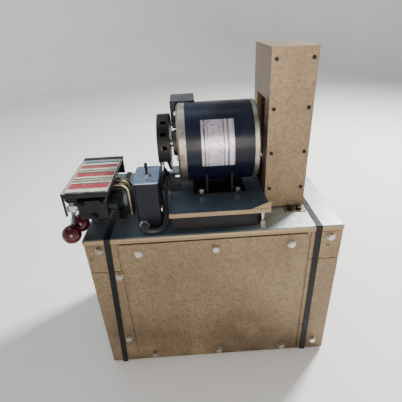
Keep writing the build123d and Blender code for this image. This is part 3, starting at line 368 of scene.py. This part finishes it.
def bare_metal(name, base, tarnish, rough, grain, stretch=(1, 1, 1), tarnish_amount=0.5):
    made, tree, shader = new_material(name, 1.0, rough)
    clouds = remap(tree, noise(tree, 45, 6), 0.42, 0.72, 0.0, tarnish_amount)
    lines = noise(tree, grain, 3, stretch)
    low = shade_of(base, 0.82)
    high = shade_of(base, 1.12)
    shade = ramp(tree, lines, ((0.3, low), (0.7, high)))
    colour = blend_colours(tree, clouds, shade, tarnish)
    wear(tree, shader, colour, remap(tree, lines, 0.3, 0.7, rough * 0.75, rough * 1.35))
    relief(tree, shader, lines, 0.00005)
    return made


# %% Metals by name
cast_aluminium = bare_metal("cast_aluminium", (0.46, 0.43, 0.39), (0.2, 0.16, 0.11), 0.45, 300,
                            tarnish_amount=0.9)
bright_zinc = bare_metal("bright_zinc_plate", (0.56, 0.54, 0.49), (0.16, 0.11, 0.06), 0.26, 500,
                         tarnish_amount=0.85)
ground_steel = bare_metal("ground_steel", (0.55, 0.55, 0.56), (0.3, 0.26, 0.22), 0.25, 700, (6, 0.4, 0.4))
core_steel = bare_metal("laminated_steel", (0.25, 0.25, 0.27), (0.12, 0.1, 0.09), 0.45, 900, (8, 0.2, 0.2))
turned_iron = bare_metal("turned_iron", (0.2, 0.2, 0.2), (0.16, 0.09, 0.05), 0.4, 600, (5, 0.4, 0.4))
coil_copper = bare_metal("varnished_copper", (0.5, 0.2, 0.08), (0.2, 0.07, 0.03), 0.35, 500, (0.3, 3, 3))
yellow_tube = bare_metal("passivated_tube", (0.5, 0.46, 0.34), (0.14, 0.1, 0.05), 0.32, 260, (0.3, 0.3, 3))
plated_steel = bare_metal("plated_fitting_steel", (0.5, 0.51, 0.53), (0.2, 0.17, 0.14), 0.32, 420)
lid_steel = bare_metal("switch_lid_steel", (0.36, 0.5, 0.68), (0.2, 0.28, 0.38), 0.45, 220)
dress(["left_end_bell", "right_end_bell", "pump_housing"], cast_aluminium)
dress(["panel_bolts", "plate_studs", "motor_bolts", "pump_bolts", "drain_plug"], bright_zinc)
dress(["motor_shaft", "motor_bearings", "pump_drive_gear", "pump_idler_gear", "spool_1", "spool_2"],
      ground_steel)
dress(["stator_core", "rotor_core"], core_steel)
dress(["motor_sheave", "pump_sheave"], turned_iron)
dress(["motor_windings"], coil_copper)
dress(["valve_tubes", "suction_line"], yellow_tube)
dress(["control_lever_1", "control_lever_2", "relief_valve", "relief_adjuster", "switch_fittings"],
      plated_steel)
dress(["tie_rods"], oiled_iron)
dress(["switch_lid"], lid_steel)

# %% [markdown]
# ## Rubber and moulded plastic
# The belt's edge shows woven cords, the gasket is a plain black sheet, the cap is moulded
# plastic with a fine grain, and the cable sheath is dull with scuffs.

# %% Rubber and plastic


def rubber(name, base, grain, rough, stretch=(1, 1, 1)):
    made, tree, shader = new_material(name, 0.0, rough)
    shader.inputs["Sheen Weight"].default_value = 0.15
    scuffs = remap(tree, noise(tree, 60, 6), 0.5, 0.75, 0.0, 0.6)
    colour = blend_colours(tree, scuffs, base, tuple(v * 3.2 + 0.01 for v in base))
    wear(tree, shader, colour, remap(tree, noise(tree, 35, 4), 0.3, 0.7, rough * 0.8, min(1, rough * 1.25)))
    relief(tree, shader, noise(tree, grain, 2, stretch), 0.00012)
    return made


# %% Rubber and plastic by name
belt_cloth = rubber("belt_cloth", (0.022, 0.021, 0.02), 700, 0.7, (1, 0.3, 3))
sheet_rubber = rubber("gasket_sheet", (0.015, 0.015, 0.015), 380, 0.65)
cable_sheath = rubber("cable_sheath", (0.01, 0.011, 0.016), 420, 0.42)
moulded_black = rubber("moulded_black", (0.014, 0.014, 0.015), 900, 0.5)
dress(["drive_belt"], belt_cloth)
dress(["cover_gasket"], sheet_rubber)
dress(["breather_cap"], moulded_black)

# %% [markdown]
# ## The striped plate and the foil plate
# The valve bank's cover carries a pale plate with red bands across it, and the motor carries
# a foil plate ruled in columns. Both are plain patterns with no lettering. Position along
# one axis picks the band from a stepped ramp, and a little noise breaks its edges.

# %% Striped plate
label_low, label_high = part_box("hood_label")
RED = (0.3, 0.014, 0.035)
INK = (0.022, 0.028, 0.022)
CHALK = (0.6, 0.58, 0.5)
SAGE = (0.3, 0.34, 0.26)
SLATE = (0.13, 0.19, 0.25)
BANDS = ((0.0, INK), (0.03, CHALK), (0.11, RED), (0.24, INK), (0.265, CHALK), (0.3, INK), (0.33, SAGE),
         (0.38, INK), (0.41, CHALK), (0.45, RED), (0.56, INK), (0.59, SAGE), (0.63, INK), (0.66, CHALK),
         (0.71, RED), (0.8, INK), (0.83, CHALK), (0.88, INK), (0.92, SLATE))
CREAM = (0.36, 0.35, 0.3)


def striped_plate():
    made, tree, shader = new_material("striped_plate", 0.0, 0.38)
    along = remap(tree, axis_value(tree, "Y"), label_low[1], label_high[1])
    ragged = combine(tree, "ADD", along, remap(tree, noise(tree, 90, 4), 0, 1, -0.022, 0.022))
    bands = ramp(tree, ragged, BANDS, stepped=True)
    across = remap(tree, axis_value(tree, "X"), label_low[0], label_high[0])
    inset = combine(tree, "MULTIPLY", remap(tree, across, 0.04, 0.1), remap(tree, across, 1.0, 0.96))
    faded = combine(tree, "MULTIPLY", inset, remap(tree, noise(tree, 160, 5), 0.25, 0.5, 0.55, 1.0))
    colour = blend_colours(tree, faded, CREAM, bands)
    # Dirt darkens the plate in patches.
    darkening = remap(tree, noise(tree, 40, 6), 0.5, 0.75, 0.0, 0.55)
    colour = blend_colours(tree, darkening, colour, (0.12, 0.115, 0.08))
    wear(tree, shader, colour, remap(tree, noise(tree, 50, 3), 0.3, 0.7, 0.28, 0.5))
    return made


dress(["hood_label"], striped_plate())

# %% Foil plate
foil_low, foil_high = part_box("rating_plate")
COLUMNS = ((0.0, (0.5, 0.48, 0.55)), (0.06, (0.1, 0.09, 0.11)), (0.12, (0.52, 0.5, 0.58)),
           (0.17, (0.2, 0.18, 0.22)), (0.2, (0.62, 0.58, 0.66)), (0.48, (0.55, 0.5, 0.58)),
           (0.66, (0.16, 0.14, 0.17)), (0.7, (0.56, 0.54, 0.64)), (0.78, (0.13, 0.12, 0.15)),
           (0.84, (0.6, 0.57, 0.66)), (0.95, (0.4, 0.38, 0.44)))


def foil_plate():
    made, tree, shader = new_material("ruled_foil", 0.55, 0.3)
    along = remap(tree, axis_value(tree, "X"), foil_low[0], foil_high[0])
    wander = combine(tree, "ADD", along, remap(tree, noise(tree, 40, 4, (1, 1, 0.3)), 0, 1, -0.03, 0.03))
    columns = ramp(tree, wander, COLUMNS, stepped=True)
    rows = remap(tree, noise(tree, 210, 2, (0.55, 1, 2.4)), 0.52, 0.6, 0.0, 0.6)
    middle = combine(tree, "MULTIPLY", remap(tree, along, 0.2, 0.24), remap(tree, along, 0.66, 0.62))
    columns = blend_colours(tree, combine(tree, "MULTIPLY", rows, middle), columns, (0.16, 0.14, 0.18))
    smudges = remap(tree, noise(tree, 55, 5), 0.42, 0.7, 0.0, 0.7)
    colour = blend_colours(tree, smudges, columns, (0.42, 0.37, 0.42))
    wear(tree, shader, colour, remap(tree, noise(tree, 70, 3), 0.3, 0.7, 0.22, 0.45))
    relief(tree, shader, noise(tree, 150, 3), 0.00008)
    return made


dress(["rating_plate"], foil_plate())

# %% [markdown]
# ## Knobs
# The lever knobs are turned phenolic balls, deep red and polished. A ball with a short
# collar is a shape of revolution, so its profile is spun about the lever's rod. The finished
# mesh lies where the solid model's ball is and replaces it.

# %% Turned pieces


def keep_mesh(name, mesh, finish, body=FRAME_BODY):
    """Puts a finished mesh in the scene as a piece that rides on a body."""
    piece = bpy.data.objects.new(name, mesh)
    bpy.context.scene.collection.objects.link(piece)
    if finish is not None:
        mesh.materials.clear()
        mesh.materials.append(finish)
    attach(piece, body)
    print(name, "has", len(mesh.polygons), "faces")
    return piece


def turned_mesh(name, profile, foot, direction, sides=64):
    """Spins (radius, height) points about a line that starts at foot."""
    shape = bmesh.new()
    rings = []
    for radius, height in profile:
        count = 1 if radius == 0 else sides
        ring = []
        for step in range(count):
            angle = 2 * math.pi * step / sides
            ring.append(shape.verts.new((radius * math.cos(angle), radius * math.sin(angle), height)))
        rings.append(ring)
    for low, high in zip(rings, rings[1:]):
        for step in range(sides):
            after = (step + 1) % sides
            corners = [low[step % len(low)], low[after % len(low)],
                       high[after % len(high)], high[step % len(high)]]
            shape.faces.new(list(dict.fromkeys(corners)))
    bmesh.ops.recalc_face_normals(shape, faces=shape.faces)
    spin = Vector(direction).to_track_quat("Z", "Y").to_matrix().to_4x4()
    bmesh.ops.transform(shape, matrix=Matrix.Translation(foot) @ spin, verts=shape.verts)
    mesh = bpy.data.meshes.new(name)
    shape.to_mesh(mesh)
    shape.free()
    mesh.shade_smooth()
    return mesh


# %% Lever knobs
def phenolic():
    made, tree, shader = new_material("polished_phenolic", 0.0, 0.12)
    shader.inputs["Coat Weight"].default_value = 0.35
    shader.inputs["Coat Roughness"].default_value = 0.04
    shader.inputs["Specular IOR Level"].default_value = 0.3
    swirl = ramp(tree, noise(tree, 26, 6), ((0.3, (0.02, 0.001, 0.003)), (0.7, (0.075, 0.004, 0.009))))
    wear(tree, shader, swirl, remap(tree, noise(tree, 80, 5), 0.4, 0.8, 0.08, 0.28))
    return made


# %% Two knobs
KNOB_STEPS = 28
KNOB_CLEARANCE = 0.0001
BALL_SHARE = 0.9
COLLAR_RADIUS = 0.0055
BORE_RIM = 0.0046
BORE_RADIUS = 0.0037
knob_finish = phenolic()
LEVER_ENDS = (
    (1, "front_lever", (-0.264, -0.135, 0.412)),
    (2, "rear_lever", (-0.264, -0.097, 0.412)),
)
for number, body, pivot in LEVER_ENDS:
    low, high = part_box(f"lever_knob_{number}")
    centre = (Vector(low) + Vector(high)) / 2
    radius = (high[2] - low[2]) / 2 - KNOB_CLEARANCE
    along = (Vector(pivot) - centre).normalized()
    profile = [(0, -radius)]
    for step in range(1, KNOB_STEPS):
        angle = math.pi * step / KNOB_STEPS * BALL_SHARE
        profile.append((radius * math.sin(angle), -radius * math.cos(angle)))
    neck = profile[-1][0]
    profile += [(neck * 0.92, radius * 0.985), (COLLAR_RADIUS, radius * 0.99)]
    profile += [(BORE_RIM, radius * 0.93), (BORE_RADIUS, radius * 0.93)]
    knob = turned_mesh("knob", profile, centre, along)
    knob = keep_mesh(f"polished_knob_{number}", knob, knob_finish, body)
    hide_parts(f"lever_knob_{number}")

# %% [markdown]
# ## The motor cable
# The lead is held by a gland at each end, so its whole route is known. A NURBS spline
# through a few listed control points bends as rubber does, without corners. Geometry
# Nodes give it a round section, because the section and the sheath then stay named inputs.

# %% Geometry Nodes helpers


def new_tree(name, inputs):
    """A Geometry Nodes group with named inputs; returns the group and its end nodes."""
    tree = bpy.data.node_groups.new(name, "GeometryNodeTree")
    tree.interface.new_socket("Geometry", in_out="INPUT", socket_type="NodeSocketGeometry")
    for label, kind, value in inputs:
        socket = tree.interface.new_socket(label, in_out="INPUT", socket_type=kind)
        if value is not None:
            socket.default_value = value
    tree.interface.new_socket("Geometry", in_out="OUTPUT", socket_type="NodeSocketGeometry")
    return tree, tree.nodes.new("NodeGroupInput"), tree.nodes.new("NodeGroupOutput")


def chain(tree, *steps):
    """Links the first geometry output of each node to the first input of the next."""
    for before, after in zip(steps, steps[1:]):
        tree.links.new(before.outputs[0], after.inputs[0])


def finish_tree(tree, inputs, outputs, last):
    realize = tree.nodes.new("GeometryNodeRealizeInstances")
    smooth = tree.nodes.new("GeometryNodeSetShadeSmooth")
    paint = tree.nodes.new("GeometryNodeSetMaterial")
    chain(tree, last, realize, smooth, paint, outputs)
    tree.links.new(inputs.outputs["Finish"], paint.inputs["Material"])


def grow(name, tree, base, settings):
    """Runs a tree on a base object and returns the result as a plain mesh."""
    bpy.context.scene.collection.objects.link(base)
    modifier = base.modifiers.new("grow", "NODES")
    modifier.node_group = tree
    sockets = {item.name: item.identifier for item in tree.interface.items_tree if item.in_out == "INPUT"}
    for label, value in settings.items():
        modifier[sockets[label]] = value
    bpy.context.view_layer.update()
    graph = bpy.context.evaluated_depsgraph_get()
    mesh = bpy.data.meshes.new_from_object(base.evaluated_get(graph), depsgraph=graph)
    mesh.name = name
    bpy.data.objects.remove(base)
    return mesh


# %% Cable tree
LEAD_RADIUS = 0.0045
LEAD_SIDES = 28


def cable_tree():
    tree, inputs, outputs = new_tree("Cable", (
        ("Radius", "NodeSocketFloat", LEAD_RADIUS), ("Sides", "NodeSocketInt", LEAD_SIDES),
        ("Finish", "NodeSocketMaterial", None)))
    section = tree.nodes.new("GeometryNodeCurvePrimitiveCircle")
    tree.links.new(inputs.outputs["Sides"], section.inputs["Resolution"])
    tree.links.new(inputs.outputs["Radius"], section.inputs["Radius"])
    tube = tree.nodes.new("GeometryNodeCurveToMesh")
    tube.inputs["Fill Caps"].default_value = True
    tree.links.new(inputs.outputs["Geometry"], tube.inputs["Curve"])
    tree.links.new(section.outputs["Curve"], tube.inputs["Profile Curve"])
    finish_tree(tree, inputs, outputs, tube)
    return tree


def smooth_route(name, points, steps=16):
    """An open NURBS spline with the points as its control points."""
    data = bpy.data.curves.new(name, "CURVE")
    data.dimensions = "3D"
    data.resolution_u = steps
    spline = data.splines.new("NURBS")
    spline.points.add(len(points) - 1)
    for point, place_at in zip(spline.points, points):
        point.co = (*place_at, 1)
    spline.order_u = 3
    spline.use_endpoint_u = True
    return bpy.data.objects.new(name, data)


# %% The lead
CABLE_ROUTE = (
    (-0.072, -0.022, 0.424),
    (-0.092, -0.022, 0.424),
    (-0.0925, -0.056, 0.409),
    (-0.092, -0.092, 0.388),
    (-0.093, -0.124, 0.369),
    (-0.104, -0.146, 0.3654),
    (-0.136, -0.150, 0.3695),
    (-0.136, -0.129, 0.3695),
)
lead = grow("motor_lead", cable_tree(), smooth_route("lead_route", CABLE_ROUTE),
            {"Radius": LEAD_RADIUS, "Sides": LEAD_SIDES, "Finish": cable_sheath})
lead = keep_mesh("motor_lead", lead, cable_sheath)
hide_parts("motor_cable")

# %% [markdown]
# ## Rivets
# Sheet-metal seams on the guard and on the tank's two end walls are closed with small domed rivets at
# an even pitch. A row is a line of points with a dome on each, so one Geometry Nodes tree
# with a start, an end and a count makes every row.

# %% Rivet tree
def rivet_tree():
    tree, inputs, outputs = new_tree("Rivet row", (
        ("Start", "NodeSocketVector", None), ("End", "NodeSocketVector", None),
        ("Count", "NodeSocketInt", 8), ("Size", "NodeSocketFloat", 0.003),
        ("Turn", "NodeSocketVector", None), ("Finish", "NodeSocketMaterial", None)))
    line = tree.nodes.new("GeometryNodeMeshLine")
    line.mode = "END_POINTS"
    tree.links.new(inputs.outputs["Start"], line.inputs["Start Location"])
    tree.links.new(inputs.outputs["End"], line.inputs["Offset"])
    tree.links.new(inputs.outputs["Count"], line.inputs["Count"])
    ball = tree.nodes.new("GeometryNodeMeshUVSphere")
    ball.inputs["Segments"].default_value = 16
    ball.inputs["Rings"].default_value = 8
    tree.links.new(inputs.outputs["Size"], ball.inputs["Radius"])
    flat = tree.nodes.new("GeometryNodeTransform")
    flat.inputs["Scale"].default_value = (1, 1, 0.5)
    chain(tree, ball, flat)
    row = tree.nodes.new("GeometryNodeInstanceOnPoints")
    tree.links.new(line.outputs["Mesh"], row.inputs["Points"])
    tree.links.new(flat.outputs["Geometry"], row.inputs["Instance"])
    euler = tree.nodes.new("FunctionNodeEulerToRotation")
    tree.links.new(inputs.outputs["Turn"], euler.inputs["Euler"])
    tree.links.new(euler.outputs["Rotation"], row.inputs["Rotation"])
    finish_tree(tree, inputs, outputs, row)
    return tree


RIVETS = rivet_tree()


def row_mesh(name, start, end, count, size, turn, finish=bright_zinc):
    """A row of domes from start to end, as a plain mesh."""
    base = bpy.data.objects.new("row", bpy.data.meshes.new("row"))
    return grow(name, RIVETS, base, {"Start": start, "End": end, "Count": count, "Size": size,
                                     "Turn": turn, "Finish": finish})


print("rivet tree has", len(RIVETS.nodes), "nodes")

# %% Seam rivets
FLAT = (0, 0, 0)
FACE_X = (0, math.pi / 2, 0)
FACE_Y = (math.pi / 2, 0, 0)
PROUD = 0.0004
RIVET_SIZE = 0.0028
RIVETS_IN_SEAM = 9
GUARD_INSET = 0.006
guard_low, guard_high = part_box("belt_guard")
tank_low, tank_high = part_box("tank_shell")
guard_back = guard_high[1] + PROUD
guard_side = guard_high[0] + PROUD
guard_foot = guard_low[2] + 0.02
guard_top = guard_high[2] - 0.015
tank_right = tank_high[0] + PROUD
seam_depth = tank_high[1] - 0.01
seam_foot = tank_low[2] + 0.027
seam_top = tank_high[2] - 0.022
seams = [
    ("guard_back_left_rivets", guard_low[0] + GUARD_INSET, guard_back, guard_foot, guard_top, FACE_Y),
    ("guard_back_right_rivets", guard_high[0] - GUARD_INSET, guard_back, guard_foot, guard_top, FACE_Y),
    ("guard_side_rivets", guard_side, guard_high[1] - 0.008, guard_foot, guard_top, FACE_X),
]
for wall, x in (("left", -tank_right), ("right", tank_right)):
    for side, y in (("front", -seam_depth), ("rear", seam_depth)):
        seams.append((f"tank_{wall}_{side}_rivets", x, y, seam_foot, seam_top, FACE_X))
for name, x, y, foot, top, turned in seams:
    mesh = row_mesh(name, (x, y, foot), (x, y, top), RIVETS_IN_SEAM, RIVET_SIZE, turned)
    keep_mesh(name, mesh, bright_zinc)

# %% [markdown]
# ## Rivets that hold the two plates
# Small drive rivets hold the striped plate along its two short edges. The foil plate lies on
# the round motor shell, so each of its rivets is turned to point straight out from the
# shell's axis.

# %% Plate rivets
PLATE_RIVET = 0.0017
PLATE_INSET = 0.005
FOIL_SIDE_INSET = 0.004
label_z = label_high[2]
for side, y in (("front", label_low[1] + PLATE_INSET), ("rear", label_high[1] - PLATE_INSET)):
    first = (label_low[0] + PLATE_INSET, y, label_z)
    last = (label_high[0] - PLATE_INSET, y, label_z)
    mesh = row_mesh("row", first, last, 3, PLATE_RIVET, FLAT)
    keep_mesh(f"label_{side}_rivets", mesh, bright_zinc)
shell_low, shell_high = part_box("motor_shell")
axis_z = (shell_low[2] + shell_high[2]) / 2
foil_radius = (shell_high[2] - shell_low[2]) / 2 + 0.0006
for side, z in (("lower", foil_low[2] + PLATE_INSET), ("upper", foil_high[2] - PLATE_INSET)):
    slope = math.asin((z - axis_z) / foil_radius)
    y = -foil_radius * math.cos(slope)
    first = (foil_low[0] + FOIL_SIDE_INSET, y, z)
    last = (foil_high[0] - FOIL_SIDE_INSET, y, z)
    mesh = row_mesh("row", first, last, 2, PLATE_RIVET, (math.pi / 2 - slope, 0, 0))
    keep_mesh(f"foil_{side}_rivets", mesh, bright_zinc)

# %% [markdown]
# ## Boots on the lead
# A ribbed rubber boot stops the lead from kinking at each gland. It is a shape of
# revolution: each rib is one wide ring between two narrow ones, and the ribs shrink outwards.

# %% Lead boots
BOOT_RIBS = 4
BOOT_PITCH = 0.0022
BOOT_BORE = 0.0044
BOOT_WIDTH = 0.0068
BOOT_TAPER = 0.0003
GROOVE_DEPTH = 0.0011
boot_profile = [(BOOT_BORE, 0.0)]
for rib in range(BOOT_RIBS):
    foot = rib * BOOT_PITCH
    wide = BOOT_WIDTH - BOOT_TAPER * rib
    boot_profile += [(wide, foot + 0.0002), (wide, foot + 0.0013)]
    boot_profile += [(wide - GROOVE_DEPTH, foot + 0.0016), (wide - GROOVE_DEPTH, foot + 0.002)]
boot_profile.append((BOOT_BORE, BOOT_RIBS * BOOT_PITCH))
boot_profile.append(boot_profile[0])
BOOTS = (("motor_end_boot", CABLE_ROUTE[0], (-1, 0, 0)), ("box_end_boot", CABLE_ROUTE[-1], (0, -1, 0)))
for name, foot, direction in BOOTS:
    boot = keep_mesh(name, turned_mesh(name, boot_profile, foot, direction, sides=40), sheet_rubber)

# %% [markdown]
# ## Weld beads
# The valve bank's bracket and the belt guard are welded to the deck. A hand-laid bead looks
# like a row of overlapping coins, so it is the rivet tree again, with the domes closer
# together than they are wide, and a little rough in finish.

# %% Weld beads
weld_steel = bare_metal("burnt_weld", (0.16, 0.14, 0.12), (0.07, 0.045, 0.03), 0.5, 380, tarnish_amount=0.9)
bracket_low, bracket_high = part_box("valve_bracket")
deck_top = bracket_low[2]
BEAD_SIZE = 0.0026
BEAD_PITCH = 0.0022
WELD_GAP = 0.001
bracket_start = bracket_low[0] + 0.006
bracket_end = bracket_high[0] - 0.004
bracket_front = bracket_low[1] - WELD_GAP
bracket_rear = bracket_high[1] + WELD_GAP
guard_start = guard_low[0] + 0.004
guard_end = guard_high[0] - 0.004
guard_rear = guard_high[1] + WELD_GAP
guard_right = guard_high[0] + WELD_GAP
weld_lines = (
    ("bracket_front_weld", (bracket_start, bracket_front, deck_top),
     (bracket_end, bracket_front, deck_top)),
    ("bracket_rear_weld", (bracket_start, bracket_rear, deck_top),
     (bracket_end, bracket_rear, deck_top)),
    ("guard_rear_weld", (guard_start, guard_rear, deck_top), (guard_end, guard_rear, deck_top)),
    ("guard_side_weld", (guard_right, -0.06, deck_top), (guard_right, 0.066, deck_top)),
)
for name, start, end in weld_lines:
    count = int((Vector(end) - Vector(start)).length / BEAD_PITCH)
    mesh = row_mesh(name, start, end, count, BEAD_SIZE, FLAT, weld_steel)
    keep_mesh(name, mesh, weld_steel)

# %% [markdown]
# ## The floor and the light
# A pale floor curves up into a wall all round, so that no horizon shows from any side.
# It is a profile spun about Z. The light is a studio's: a warm source in front, a soft cool
# one overhead, and a strong one behind at the right that draws the shadows to the left.

# %% Studio sweep
FLOOR_RADIUS = 3.6
BEND_RADIUS = 1.0
WALL_TOP = 3.4
BEND_STEPS = 12
floor_profile = [(0, 0.0), (FLOOR_RADIUS, 0.0)]
for step in range(1, BEND_STEPS + 1):
    angle = math.pi / 2 * step / BEND_STEPS
    out = FLOOR_RADIUS + BEND_RADIUS * math.sin(angle)
    floor_profile.append((out, BEND_RADIUS * (1 - math.cos(angle))))
floor_profile.append((FLOOR_RADIUS + BEND_RADIUS, WALL_TOP))
sweep_mesh = turned_mesh("studio_sweep", floor_profile, (0, 0, 0), (0, 0, 1), sides=96)
paper, paper_tree, paper_shader = new_material("pale_paper", 0.0, 0.9)
paper_tone = ramp(paper_tree, noise(paper_tree, 3, 3),
                  ((0.3, (0.84, 0.84, 0.84)), (0.7, (0.88, 0.88, 0.88))))
paper_tree.links.new(paper_tone, paper_shader.inputs["Base Color"])
sweep_mesh.materials.append(paper)
studio_sweep = bpy.data.objects.new("studio_sweep", sweep_mesh)
bpy.context.scene.collection.objects.link(studio_sweep)
print("sweep has", len(sweep_mesh.polygons), "faces")


# %% Lights
def area_light(name, place_at, aim, size, power, colour):
    data = bpy.data.lights.new(name, "AREA")
    data.size = size
    data.energy = power
    data.color = colour
    lamp = bpy.data.objects.new(name, data)
    bpy.context.scene.collection.objects.link(lamp)
    lamp.location = place_at
    lamp.rotation_euler = (Vector(aim) - Vector(place_at)).to_track_quat("-Z", "Y").to_euler()
    print(name, power, "W")


MIDDLE = (0, 0, 0.3)
area_light("front_fill", (0.2, -2.7, 0.9), MIDDLE, 1.4, 50, (1.0, 0.9, 0.78))
area_light("sky", (-0.6, 0.6, 2.6), MIDDLE, 1.6, 14, (0.7, 0.84, 1.0))
area_light("right_key", (1.5, 1.3, 2.0), MIDDLE, 0.45, 165, (1.0, 0.98, 0.94))
world = bpy.data.worlds.new("studio")
world.use_nodes = True
world.node_tree.nodes["Background"].inputs["Color"].default_value = (0.95, 0.97, 1.0, 1)
world.node_tree.nodes["Background"].inputs["Strength"].default_value = 0.3
bpy.context.scene.world = world
